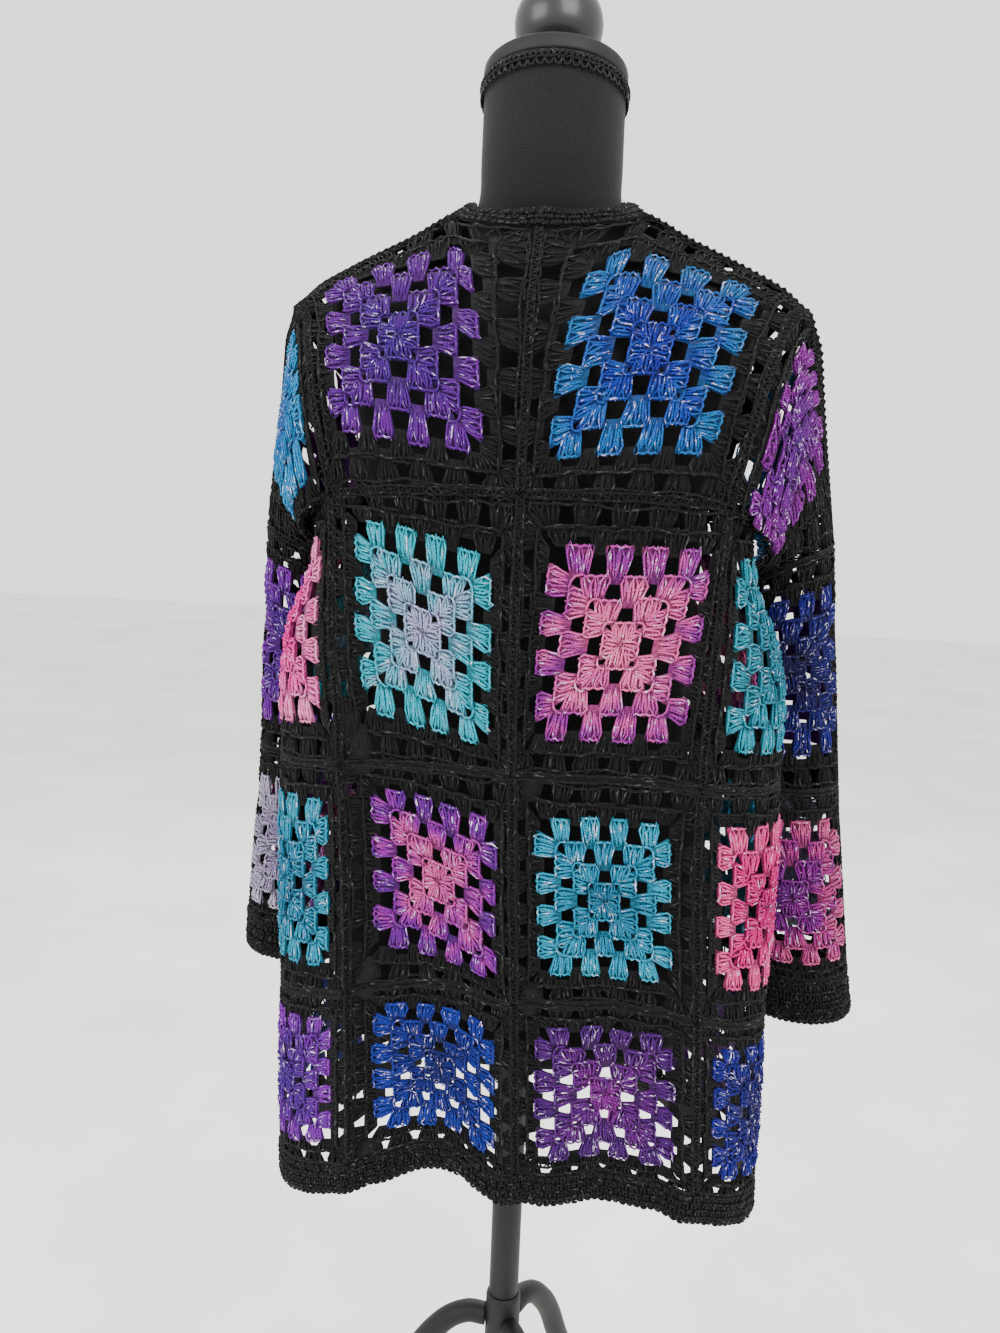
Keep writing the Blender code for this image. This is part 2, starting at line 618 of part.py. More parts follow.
def dress_form():
    torso()
    black = material("painted_wood", "#151515", 0.35)
    lip = (0, NECK_Y, NECK_TOP)
    turned("neck_trim", [(TRIM_IN, -0.0125), (TRIM_IN + 0.003, -0.012), (TRIM_IN + 0.0035, -0.007),
                         (TRIM_IN + 0.003, -0.002), (TRIM_IN, -0.0015)],
           material("gimp", "#242426", 0.8), lip, TILT, FORM_SIDES)
    turned("neck_cap", [(0, 0.0003), (0.0555, 0.0003), (0.0585, 0.003), (0.0590, 0.007), (0.0565, 0.011),
                        (0.050, 0.0135), (0, 0.0135)], black, lip, TILT)
    turned("finial", [(0, 0.0138), (0.027, 0.0138), (0.029, 0.018), (0.024, 0.023), (0.026, 0.027),
                      (0.034, 0.037), (0.0365, 0.050), (0.034, 0.063), (0.025, 0.074), (0.012, 0.080),
                      (0, 0.081)], black, lip, TILT)
    metal = material("stand", "#1d1d1e", 0.4)
    bottom = float(FORM["height"][0])
    rod("pole", POLE_RADIUS, HUB_TOP + SEAM, bottom - SEAM, metal)
    turned("hub", [(0, HUB_BOTTOM), (0.014, HUB_BOTTOM), (0.0165, HUB_BOTTOM + 0.008),
                   (0.0165, HUB_TOP - 0.004), (0.015, HUB_TOP), (0, HUB_TOP)], metal, (0, 0, 0))
    for k in range(3):
        leg(k)


def clear_scene():
    for item in list(bpy.data.objects):
        bpy.data.objects.remove(item)


clear_scene()
bpy.context.scene.collection.children.link(work)
body_squares()
yoke_squares()
sleeve_squares()
cuffs()
bands()
shared_normals()
for piece_name in panels:
    crochet(piece_name)
dress_form()
for piece in work.objects:
    piece.location += CENTRE
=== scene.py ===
import math
import bpy
import bmesh
import numpy as np
from mathutils import Matrix, Vector


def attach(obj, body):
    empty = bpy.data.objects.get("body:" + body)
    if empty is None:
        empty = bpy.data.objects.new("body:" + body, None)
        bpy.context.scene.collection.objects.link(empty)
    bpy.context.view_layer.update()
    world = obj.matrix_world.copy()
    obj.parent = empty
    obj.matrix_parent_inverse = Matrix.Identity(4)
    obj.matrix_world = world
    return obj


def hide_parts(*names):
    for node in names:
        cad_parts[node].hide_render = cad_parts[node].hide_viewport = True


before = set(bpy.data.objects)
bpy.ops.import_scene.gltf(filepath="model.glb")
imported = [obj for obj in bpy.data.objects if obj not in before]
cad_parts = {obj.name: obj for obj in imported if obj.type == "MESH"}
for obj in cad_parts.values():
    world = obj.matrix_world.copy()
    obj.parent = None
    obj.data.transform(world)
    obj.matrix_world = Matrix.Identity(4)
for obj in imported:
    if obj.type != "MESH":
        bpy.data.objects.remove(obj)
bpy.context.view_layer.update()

centre = np.array([0.0143, 0, 0])      # the CAD's own shift, which centres its box
scene = bpy.context.scene


# the cloth's surfaces, from the same sizes as the solids

def readTable(columns, *rows):
    return {name: np.array([row[i] for row in rows], float) for i, name in enumerate(columns.split())}


levels = readTable(
    "level height sideDrop halfWidth back front join1 join2 join3 flute turn left",
    (0.0, 1.100, 0.012, 0.172, 0.138, -0.126, 0.158, 0.290, 0.412, 0.000, 0.000, 1.000),
    (0.25, 1.048, 0.012, 0.178, 0.140, -0.132, 0.153, 0.287, 0.418, 0.001, 0.000, 0.995),
    (0.5, 0.997, 0.012, 0.199, 0.142, -0.136, 0.147, 0.286, 0.424, 0.002, 0.000, 0.985),
    (1.0, 0.895, 0.013, 0.208, 0.145, -0.138, 0.140, 0.281, 0.423, 0.005, 0.003, 0.964),
    (2.0, 0.717, 0.030, 0.210, 0.146, -0.138, 0.141, 0.281, 0.422, 0.010, 0.011, 0.949),
    (3.0, 0.548, 0.040, 0.211, 0.146, -0.140, 0.145, 0.286, 0.427, 0.018, 0.018, 0.936),
)
yokeBackTop = readTable(
    "share x y z",
    (0.00, 0.000, 0.079, 1.296),
    (0.08, 0.030, 0.0755, 1.2975),
    (0.135, 0.053, 0.060, 1.304),
    (0.30, 0.079, 0.004, 1.322),
    (0.47, 0.111, -0.002, 1.307),
    (0.70, 0.155, -0.004, 1.287),
    (1.00, 0.217, -0.004, 1.255),
)
yokeBackMiddle = readTable(
    "share y z",
    (0.0, 0.138, 1.100),
    (0.3, 0.137, 1.165),
    (0.6, 0.124, 1.230),
    (1.0, 0.079, 1.296),
)
armholeBack = readTable(
    "share x y z",
    (0.00, 0.1465, 0.1015, 1.0965),
    (0.15, 0.152, 0.105, 1.124),
    (0.38, 0.163, 0.101, 1.166),
    (0.65, 0.180, 0.066, 1.216),
    (0.85, 0.197, 0.027, 1.246),
    (1.00, 0.217, -0.004, 1.255),
)
armholeFront = readTable(
    "share x y z",
    (0.00, 0.166, -0.026, 1.088),
    (0.20, 0.157, -0.062, 1.120),
    (0.50, 0.166, -0.080, 1.175),
    (0.80, 0.193, -0.040, 1.236),
    (1.00, 0.217, -0.004, 1.255),
)
frontEdge = readTable(
    "share x y z",
    (0.00, 0.083, -0.108, 1.088),
    (0.35, 0.084, -0.110, 1.172),
    (0.70, 0.080, -0.074, 1.260),
    (1.00, 0.079, 0.004, 1.322),
)
rings = readTable(
    "level height x rightX y halfWidth halfDepth innerDrop rightDrop",
    (1.0, 1.068, 0.2090, 0.2145, -0.046, 0.038, 0.055, 0.030, 0.000),
    (1.5, 0.960, 0.2170, 0.2240, -0.073, 0.045, 0.049, 0.012, 0.003),
    (2.0, 0.852, 0.2210, 0.2340, -0.088, 0.050, 0.047, 0.000, 0.005),
    (3.0, 0.676, 0.2350, 0.2580, -0.094, 0.051, 0.048, 0.000, 0.011),
    (4.0, 0.640, 0.2370, 0.2660, -0.095, 0.050, 0.047, 0.000, 0.016),
)
cut = {
    "sectionY": 0.035, "backPower": 2.6, "frontPower": 1.8,
    "flutes": (0.7, -0.25, 0.6), "deepFlute": 1.7, "deepLift": 0.008,
    "band": 0.020, "hemBand": 0.024, "neckBand": 0.017,
    "neckAt": 0.30, "underarmAt": 0.47,
    "swell": np.array([-0.004, 0, 0.012]), "sag": np.array([0.024, 0, 0]),
}
yokeLines = (0, 0.08, 0.135, 0.30, 0.47, 0.53, 0.70, 0.865, 0.92, 1)
bodyLines = (0, 0.08, 0.135, 0.47, 0.53, 0.865, 0.92, 1)


def curveAt(rows, column, share):
    x, y = rows["share" if "share" in rows else "level"], rows[column]
    slopes = np.gradient(y, x)
    i = int(np.clip(np.searchsorted(x, share) - 1, 0, len(x) - 2))
    h = x[i + 1] - x[i]
    t = (share - x[i]) / h
    return ((1 + 2 * t) * (1 - t) ** 2 * y[i] + t * (1 - t) ** 2 * h * slopes[i]
            + t * t * (3 - 2 * t) * y[i + 1] + t * t * (t - 1) * h * slopes[i + 1])


def pointOn(rows, share):
    return np.array([curveAt(rows, axis, share) for axis in "xyz"])


sections = {}


def section(level):
    key = round(level, 6)
    if key not in sections:
        wide = curveAt(levels, "halfWidth", level)
        back = curveAt(levels, "back", level) - cut["sectionY"]
        front = curveAt(levels, "front", level) - cut["sectionY"]
        turn = np.linspace(0, math.pi, 721)
        behind = turn <= math.pi / 2
        power = np.where(behind, 2 / cut["backPower"], 2 / cut["frontPower"])
        x = wide * np.abs(np.sin(turn)) ** power
        y = cut["sectionY"] + np.where(behind, back, front) * np.abs(np.cos(turn)) ** power
        arc = np.concatenate([[0], np.cumsum(np.hypot(np.diff(x), np.diff(y)))])
        joins = [0.0] + [curveAt(levels, f"join{k}", level) for k in (1, 2, 3)]
        rest = [curveAt(levels, name, level) for name in ("flute", "height", "sideDrop", "turn", "left")]
        sections[key] = (x, y, arc, joins, rest)
    return sections[key]


def bodyPoint(column, level):
    side, s = (1 if column >= 0 else -1), abs(column)
    x, y, arc, joins, (flute, height, sideDrop, turn, left) = section(level)
    k = min(int(s), 2)

    def onArc(a):
        across = np.interp(abs(a), arc, x)
        return np.array([across * left if a > 0 else -across, np.interp(abs(a), arc, y)])
    at = side * (joins[k] + (s - k) * (joins[k + 1] - joins[k]))
    at = at - turn * (1 - np.clip((s - 1) / 2, 0, 1) ** 2)
    along = onArc(at + 0.002) - onArc(at - 0.002)
    deep = 0 < column < 1
    wave = math.sin(math.pi * min(s - k, 1)) ** 2
    sink = cut["flutes"][k] * (cut["deepFlute"] if deep else 1) * flute
    place = onArc(at) - np.array([-along[1], along[0]]) / np.linalg.norm(along) * sink * wave
    drop = np.clip((s - 0.5) / 1.2, 0, 1)
    z = height - sideDrop * drop * drop * (3 - 2 * drop)
    return np.array([place[0], place[1], z + (cut["deepLift"] * wave * (level / 3) ** 2 if deep else 0)])


def patch(bottom, top, inner, outer, u, v):
    w = v * v
    corners = ((1 - u) * (1 - w) * bottom(0) + u * (1 - w) * bottom(1)
               + (1 - u) * w * top(0) + u * w * top(1))
    return (1 - w) * bottom(u) + w * top(u) + (1 - u) * inner(v) + u * outer(v) - corners


def armholeAt(rows, start, v):
    return pointOn(rows, v) + (1 - v) ** 2 * (start - pointOn(rows, 0))


def yokeBack(u, v):
    start = bodyPoint(1, 0)
    return patch(lambda a: bodyPoint(a, 0), lambda a: pointOn(yokeBackTop, a),
                 lambda b: np.array([0, curveAt(yokeBackMiddle, "y", b), curveAt(yokeBackMiddle, "z", b)]),
                 lambda b: armholeAt(armholeBack, start, b), u, v)


def yokeFront(u, v):
    start, end = bodyPoint(2, 0), bodyPoint(3, 0)
    neck = cut["neckAt"]
    return patch(lambda a: bodyPoint(2 + a, 0), lambda a: pointOn(yokeBackTop, neck + (1 - a) * (1 - neck)),
                 lambda b: armholeAt(armholeFront, start, b), lambda b: armholeAt(frontEdge, end, b), u, v)


def mirrored(p, side):
    return p * np.array([side, 1, 1])


def ringPoint(level, turn, side):
    a = 2 * math.pi * turn
    z = curveAt(rings, "height", level) - curveAt(rings, "innerDrop", level) * (1 - math.cos(a)) / 2
    if side < 0:
        z -= curveAt(rings, "rightDrop", level)
    x = curveAt(rings, "x" if side > 0 else "rightX", level)
    return np.array([side * (x + curveAt(rings, "halfWidth", level) * math.cos(a)),
                     curveAt(rings, "y", level) + curveAt(rings, "halfDepth", level) * math.sin(a), z])


def armholeRing():
    back = [yokeBack(1, 1 - d) for d in yokeLines]
    back += [bodyPoint(1 + a, 0) for a in bodyLines[1:] if a <= cut["underarmAt"]]
    front = [bodyPoint(1 + a, 0) for a in bodyLines if a >= cut["underarmAt"]]
    front += [yokeFront(0, 1 - d) for d in yokeLines[::-1][1:]]
    return np.array(back), np.array(front)


armholes = armholeRing()
sleeveLines = ((0, 0.08, 0.135, 0.24, 0.355, 0.47, 0.53, 0.63, 0.71, 0.79, 0.865, 0.92, 1),
               (0, 0.08, 0.135, 0.22, 0.30, 0.385, 0.47, 0.53, 0.63, 0.71, 0.79, 0.865, 0.92, 1))


def sleeveHead(a, d, side, half):
    start = np.array([np.interp(a, sleeveLines[half], armholes[half][:, i]) for i in range(3)])
    turn = (half + a) / 2
    outside = (1 + math.cos(2 * math.pi * turn)) / 2
    swell = (cut["swell"] * outside + cut["sag"] * (1 - outside)) * math.sin(math.pi * d)
    end = mirrored(ringPoint(1, turn, side), side)
    return mirrored(start + (end - start) * np.array([d, d ** 1.7, d]) + swell, side)


def hemTop():
    return 3 - cut["hemBand"] / (curveAt(levels, "height", 2) - curveAt(levels, "height", 3))


def inTorso(p):
    return np.array([p[0] * 0.5, p[1] * 0.5, p[2] - 0.05])


def inSleeve(p):
    level = np.interp(-p[2], -rings["height"], rings["level"])
    return np.array([math.copysign(curveAt(rings, "x", level), p[0]), curveAt(rings, "y", level), p[2]])


def gridNormals(points):
    out = np.cross(np.gradient(points, axis=1), np.gradient(points, axis=0))
    return out / np.linalg.norm(out, axis=2, keepdims=True)


# soft folds, each along a line of (x, z) on the back (+1) or front (-1), with its half width and depth;
# a depth below zero stands out
folds = (
    (1, ((0.114, 0.93), (0.108, 0.80), (0.105, 0.54)), 0.011, 0.0065),
    (1, ((0.134, 0.90), (0.128, 0.72), (0.124, 0.54)), 0.009, -0.0035),
    (1, ((0.124, 1.10), (0.120, 1.00), (0.116, 0.92)), 0.009, 0.0035),
    (1, ((-0.014, 1.02), (-0.024, 0.80), (-0.026, 0.54)), 0.009, 0.0045),
    (1, ((0.002, 1.02), (-0.004, 0.80), (-0.006, 0.54)), 0.008, -0.0030),
    (1, ((0.030, 0.80), (0.034, 0.66), (0.030, 0.54)), 0.014, 0.0030),
    (1, ((-0.122, 0.86), (-0.128, 0.70), (-0.130, 0.54)), 0.010, 0.0045),
    (1, ((-0.148, 0.90), (-0.150, 0.72), (-0.150, 0.54)), 0.009, -0.0030),
    (1, ((-0.085, 0.72), (-0.080, 0.64), (-0.078, 0.54)), 0.014, 0.0030),
    (1, ((0.150, 1.11), (0.100, 1.075), (0.040, 1.085)), 0.009, 0.0030),
    (1, ((-0.150, 1.11), (-0.100, 1.080), (-0.045, 1.088)), 0.009, 0.0025),
    (1, ((0.190, 1.235), (0.150, 1.215), (0.110, 1.225)), 0.010, 0.0025),
    (-1, ((0.130, 1.05), (0.126, 0.80), (0.124, 0.54)), 0.012, 0.0050),
    (-1, ((-0.125, 1.05), (-0.122, 0.78), (-0.126, 0.54)), 0.012, 0.0045),
    (-1, ((0.085, 0.86), (0.080, 0.70), (0.082, 0.54)), 0.013, 0.0035),
    (-1, ((-0.082, 0.90), (-0.084, 0.72), (-0.080, 0.54)), 0.013, 0.0035),
    (1, ((0.262, 0.99), (0.235, 0.955), (0.205, 0.965)), 0.012, 0.0040),
    (1, ((0.272, 0.80), (0.240, 0.775), (0.212, 0.790)), 0.013, 0.0035),
    (1, ((-0.268, 1.00), (-0.238, 0.960), (-0.208, 0.975)), 0.012, 0.0035),
    (1, ((-0.290, 0.82), (-0.256, 0.790), (-0.226, 0.800)), 0.013, 0.0035),
    (-1, ((0.262, 0.93), (0.235, 0.900), (0.205, 0.920)), 0.013, 0.0040),
    (-1, ((-0.272, 0.94), (-0.240, 0.905), (-0.212, 0.925)), 0.013, 0.0040),
)


shoulder = {"reach": 0.034, "depth": 0.0060}


def folded(points, normals):
    moved = points.copy()
    for side, line, wide, deep in folds:
        near = np.full(points.shape[:2], 9.0)
        for a, b in zip(line, line[1:]):
            a, b = np.array(a), np.array(b)
            flat = points[..., [0, 2]]
            t = np.clip((flat - a) @ (b - a) / ((b - a) @ (b - a)), 0, 1)
            near = np.minimum(near, np.linalg.norm(flat - a - t[..., None] * (b - a), axis=-1))
        facing = np.clip(side * normals[..., 1] * 2, 0, 1)
        moved = moved - normals * (deep * facing * np.exp(-(near / wide) ** 2))[..., None]
    return moved


def outward(points, inside):
    normals = gridNormals(points)
    away = points - np.array([[inside(p) for p in row] for row in points])
    return -normals if (normals * away).sum() < 0 else normals


def softened(points):
    # the point of each shoulder is blunt, because the yarn gives there
    for side in (1, -1):
        corner = mirrored(yokeBack(1, 1), side)
        near = np.linalg.norm(points - corner, axis=-1) / shoulder["reach"]
        inward = np.array([-0.80 * side, 0, -0.60]) * shoulder["depth"]
        points = points + inward * (np.clip(1 - near ** 2, 0, 1) ** 2)[..., None]
    return points


def surfaceOf(points, inside):
    points = softened(folded(points, outward(points, inside)))
    steps = np.linalg.norm(np.diff(points, axis=1), axis=2), np.linalg.norm(np.diff(points, axis=0), axis=2)
    return {"points": points, "normals": outward(points, inside),
            "width": steps[0].sum(1).mean(), "length": steps[1].sum(0).mean()}


def sampled(point, inside, across=25, down=25):
    return surfaceOf(np.array([[point(a, d) for a in np.linspace(0, 1, across)]
                               for d in np.linspace(0, 1, down)]), inside)


def onSurface(surface, x, y, w):
    # x across and y down, from 0 to 1; w is how far off the cloth, in metres
    points, normals = surface["points"], surface["normals"]
    down, across = points.shape[:2]
    gx, gy = np.asarray(x) * (across - 1), np.asarray(y) * (down - 1)
    i = np.clip(np.floor(gx).astype(int), 0, across - 2)
    j = np.clip(np.floor(gy).astype(int), 0, down - 2)
    s, t = (gx - i)[..., None], (gy - j)[..., None]

    def blended(grid):
        return ((1 - s) * (1 - t) * grid[j, i] + s * (1 - t) * grid[j, i + 1]
                + (1 - s) * t * grid[j + 1, i] + s * t * grid[j + 1, i + 1])
    n = blended(normals)
    n = n / np.linalg.norm(n, axis=-1, keepdims=True)
    return blended(points) + n * np.asarray(w)[..., None] + centre


def linear(code):
    channels = [int(code[i:i + 2], 16) / 255 for i in (1, 3, 5)]
    return (*(c / 12.92 if c < 0.04045 else ((c + 0.055) / 1.055) ** 2.4 for c in channels), 1.0)


def fillInputs(tree, node, values=None, links=None):
    for name, value in (values or {}).items():
        node.inputs[name].default_value = value
    for name, source in (links or {}).items():
        tree.links.new(source, node.inputs[name])


def addNode(tree, kind, values=None, links=None, **settings):
    node = tree.nodes.new(kind)
    for name, value in settings.items():
        setattr(node, name, value)
    fillInputs(tree, node, values, links)
    return node


def calculate(tree, operation, *terms):
    # each term is another node's socket or a plain number
    linked = {k: term for k, term in enumerate(terms) if isinstance(term, bpy.types.NodeSocket)}
    fixed = {k: term for k, term in enumerate(terms) if k not in linked}
    return addNode(tree, "ShaderNodeMath", fixed, linked, operation=operation).outputs[0]


def remap(tree, value, low, high, newLow, newHigh):
    ends = {1: low, 2: high, 3: newLow, 4: newHigh}
    return addNode(tree, "ShaderNodeMapRange", ends, {0: value}).outputs[0]


def noise(tree, vector, scale, detail, roughness=0.5):
    return addNode(tree, "ShaderNodeTexNoise", {"Scale": scale, "Detail": detail, "Roughness": roughness},
                   {"Vector": vector}).outputs["Fac"]


def bumped(tree, height, strength, distance, normal=None):
    links = {"Height": height} if normal is None else {"Height": height, "Normal": normal}
    return addNode(tree, "ShaderNodeBump", {"Strength": strength, "Distance": distance}, links).outputs[0]


def multiplied(tree, colour, factor):
    return addNode(tree, "ShaderNodeMix", {0: 1.0}, {6: colour, 7: factor}, data_type="RGBA",
                   blend_type="MULTIPLY").outputs[2]


def ramped(tree, factor, stops):
    node = addNode(tree, "ShaderNodeValToRGB", links={0: factor})
    ramp = node.color_ramp
    while len(ramp.elements) > 1:
        ramp.elements.remove(ramp.elements[-1])
    ramp.elements[0].position, ramp.elements[0].color = stops[0][0], linear(stops[0][1])
    for place, code in stops[1:]:
        ramp.elements.new(place).color = linear(code)
    return node.outputs[0]


def newMaterial(name):
    made = bpy.data.materials.new(name)
    made.use_nodes = True
    return made, made.node_tree, made.node_tree.nodes["Principled BSDF"]


yarnLook = {
    "plyPitch": 0.0042, "plyDepth": 0.0005, "grooveShade": 0.62, "fuzz": 0.0002, "hairScale": 1600.0,
    "dyeScale": 55.0, "dyeShift": 0.22, "shade": 0.38, "saturation": 1.13, "specular": 0.22,
    "glintAlong": 130, "glintAcross": 2.4, "glintFrom": 0.60, "glintTo": 0.68,
}


def yarn(name, stops, glint, glints, sheen, rough=0.78):
    # worsted acrylic with a fine metallic thread: matt and hairy; the thread's small bright streaks along it
    # are painted highlights
    made, tree, shader = newMaterial(name)
    uv = addNode(tree, "ShaderNodeUVMap", uv_map="UVMap")
    split = addNode(tree, "ShaderNodeSeparateXYZ", links={0: uv.outputs[0]})
    # the inShade layer read here is the mask of the painted shade on the web under the strands
    reach, mark, tone, depth = (addNode(tree, "ShaderNodeAttribute", attribute_name=key).outputs["Fac"]
                                for key in ("strandLength", "strandMark", "tone", "inShade"))
    coords = addNode(tree, "ShaderNodeTexCoord").outputs["Object"]
    along = calculate(tree, "MULTIPLY", split.outputs[0], reach)
    # two plies wind round the strand
    turns = calculate(tree, "MULTIPLY", along, 1 / yarnLook["plyPitch"])
    phase = calculate(tree, "ADD", turns, split.outputs[1])
    ply = calculate(tree, "SINE", calculate(tree, "MULTIPLY", phase, 4 * math.pi))
    # the dye changes slowly along the yarn and from one round to the next
    shift = remap(tree, noise(tree, coords, yarnLook["dyeScale"], 1.0), 0.3, 0.7,
                  -yarnLook["dyeShift"], yarnLook["dyeShift"])
    dye = ramped(tree, calculate(tree, "ADD", tone, shift), stops)
    # painted shade: the dye is darkened in the grooves between the plies
    shaded = multiplied(tree, dye, remap(tree, ply, -1.0, 0.6, yarnLook["grooveShade"], 1.0))
    # painted shade: the cloth between the strands is darkened, as it lies in their shade
    deeper = remap(tree, depth, 0.0, 1.0, 1.0, yarnLook["shade"])
    rich = addNode(tree, "ShaderNodeHueSaturation", {"Saturation": yarnLook["saturation"]},
                   {"Color": multiplied(tree, shaded, deeper)})
    # painted highlights: the metallic thread's glints, as noise pulled out along the strand, mixed into the
    # base colour and dimmed in the painted shade
    streak = addNode(tree, "ShaderNodeCombineXYZ", links={
        0: calculate(tree, "MULTIPLY", along, yarnLook["glintAlong"]),
        1: calculate(tree, "MULTIPLY", split.outputs[1], yarnLook["glintAcross"]), 2: mark})
    shine = remap(tree, noise(tree, streak.outputs[0], 1.0, 2.0, 0.6),
                  yarnLook["glintFrom"], yarnLook["glintTo"], 0, glints)
    lit = addNode(tree, "ShaderNodeMix", {7: linear(glint)},
                  {0: calculate(tree, "MULTIPLY", shine, deeper), 6: rich.outputs[0]}, data_type="RGBA")
    twist = bumped(tree, ply, 0.8, yarnLook["plyDepth"])
    fuzz = bumped(tree, noise(tree, coords, yarnLook["hairScale"], 2.0), 0.7, yarnLook["fuzz"], twist)
    fillInputs(tree, shader, {"Roughness": rough, "Specular IOR Level": yarnLook["specular"],
                              "Sheen Weight": sheen, "Sheen Roughness": 0.45, "Sheen Tint": linear(glint)},
               {"Base Color": lit.outputs[2], "Normal": fuzz})
    return made


def plain(name, code, rough, bump, spread, coat=0.0, gloss=0.5):
    # one colour with its own grain: bump is (scale, distance) or nothing, spread a second colour over it
    made, tree, shader = newMaterial(name)
    coords = addNode(tree, "ShaderNodeTexCoord").outputs["Object"]
    cloud = ramped(tree, noise(tree, coords, spread[1], 4.0), ((0.35, code), (0.65, spread[0])))
    fillInputs(tree, shader, {"Roughness": rough, "Coat Weight": coat, "Coat Roughness": 0.12,
                              "Specular IOR Level": gloss}, {"Base Color": cloud})
    if bump:
        grain = bumped(tree, noise(tree, coords, bump[0], 3.0), 0.6, bump[1])
        fillInputs(tree, shader, links={"Normal": grain})
    return made


jerseyLook = {"wale": 0.0018, "course": 0.0024, "relief": 0.0002, "lintScale": 700.0}


def jersey():
    # fine cotton jersey stretched over the form: wales 0.9 mm apart, drawn at 1.8 mm so that they show
    made, tree, shader = newMaterial("stretchedJersey")
    uv = addNode(tree, "ShaderNodeUVMap", uv_map="UVMap")
    split = addNode(tree, "ShaderNodeSeparateXYZ", links={0: uv.outputs[0]})
    ribs = [calculate(tree, "MULTIPLY", split.outputs[k], 2 * math.pi / jerseyLook[key])
            for k, key in enumerate(("wale", "course"))]
    knit = calculate(tree, "ADD", *(calculate(tree, "SINE", rib) for rib in ribs))
    coords = addNode(tree, "ShaderNodeTexCoord").outputs["Object"]
    lint = ramped(tree, noise(tree, coords, jerseyLook["lintScale"], 4.0),
                  ((0.30, "#0b0b0c"), (0.60, "#121213"), (0.80, "#202022")))
    relief = bumped(tree, knit, 0.25, jerseyLook["relief"])
    fillInputs(tree, shader, {"Roughness": 0.95, "Specular IOR Level": 0.25, "Sheen Weight": 0.06,
                              "Sheen Roughness": 0.5}, {"Base Color": lint, "Normal": relief})
    return made


# stops run from a square's centre to its last coloured round
dyes = {
    "violet": ((0.0, "#3a047f"), (0.5, "#4e0680"), (1.0, "#620c8a")),
    "blue": ((0.0, "#0c1a8c"), (0.35, "#0e2e9c"), (0.7, "#0a52a6"), (1.0, "#0666a4")),
    "tealMist": ((0.0, "#a8a6c8"), (0.45, "#88aac2"), (0.75, "#48acbe"), (1.0, "#16a8ba")),
    "pinkMagenta": ((0.0, "#ea82ab"), (0.45, "#e074a4"), (0.75, "#bc5a9c"), (1.0, "#8c3990")),
    "pink": ((0.0, "#f0409c"), (0.5, "#f66cb4"), (1.0, "#f69ac6")),
    "teal": ((0.0, "#006e86"), (0.5, "#007f98"), (1.0, "#0496ac")),
    "turquoise": ((0.0, "#006a8c"), (0.5, "#0082a6"), (1.0, "#0098b6")),
    "pinkPurple": ((0.0, "#d46c9b"), (0.45, "#bb589e"), (0.8, "#843098"), (1.0, "#5e1686")),
    "rose": ((0.0, "#be2f76"), (0.5, "#dc4c8a"), (1.0, "#ec74a4")),
    "royal": ((0.0, "#06135e"), (0.5, "#081a7a"), (1.0, "#0c2c98")),
    "plum": ((0.0, "#7a2280"), (0.4, "#5c0e74"), (1.0, "#440668")),
    "purple": ((0.0, "#3c0880"), (0.5, "#56108e"), (1.0, "#7c24a4")),
    "indigo": ((0.0, "#0e0854"), (0.5, "#10106c"), (1.0, "#181c86")),
    "magenta": ((0.0, "#521076"), (0.5, "#681a80"), (1.0, "#82268c")),
    "navy": ((0.0, "#0a083c"), (0.5, "#0c0c5c"), (1.0, "#101676")),
    "pinkRound": ((0.0, "#6a1a7c"), (0.35, "#8a2e8c"), (0.65, "#b8528e"), (1.0, "#d26c96")),
    "sky": ((0.0, "#0a4c98"), (0.5, "#106cb0"), (1.0, "#228cbe")),
    "mist": ((0.0, "#8478a0"), (0.5, "#a498b8"), (1.0, "#c2bace")),
}
# each yarn's glint colour and share are painted highlights of its metallic thread
yarns = {name: yarn(f"yarn_{name}", stops, "#f0e4ff", 0.75, 0.05) for name, stops in dyes.items()}
blackYarn = yarn("yarnBlack", ((0.0, "#020202"), (0.5, "#050505"), (1.0, "#0a0a0a")), "#8c8e90", 0.18, 0.05,
                 rough=0.8)
print("materials done")


# strands: curves with round sections, made into one mesh a piece

def meshOfCurve(line, merge, layers=None):
    # the curve's mesh with its doubles merged; layers are values for its points, by name
    holder = bpy.data.objects.new(line.name, line)
    scene.collection.objects.link(holder)
    data = bpy.data.meshes.new_from_object(holder.evaluated_get(bpy.context.evaluated_depsgraph_get()))
    bpy.data.objects.remove(holder)
    addLayers(data, layers or {})
    bm = bmesh.new()
    bm.from_mesh(data)
    bmesh.ops.remove_doubles(bm, verts=bm.verts, dist=merge)
    bm.to_mesh(data)
    bm.free()
    return data


def addLayers(data, layers):
    for key, values in layers.items():
        values = np.broadcast_to(values, (len(data.vertices),)).astype("f4")
        data.attributes.new(key, "FLOAT", "POINT").data.foreach_set("value", values)


def meshOf(name, bm, *materials):
    data = bpy.data.meshes.new(name)
    bm.to_mesh(data)
    bm.free()
    for made in materials:
        data.materials.append(made)
    return data


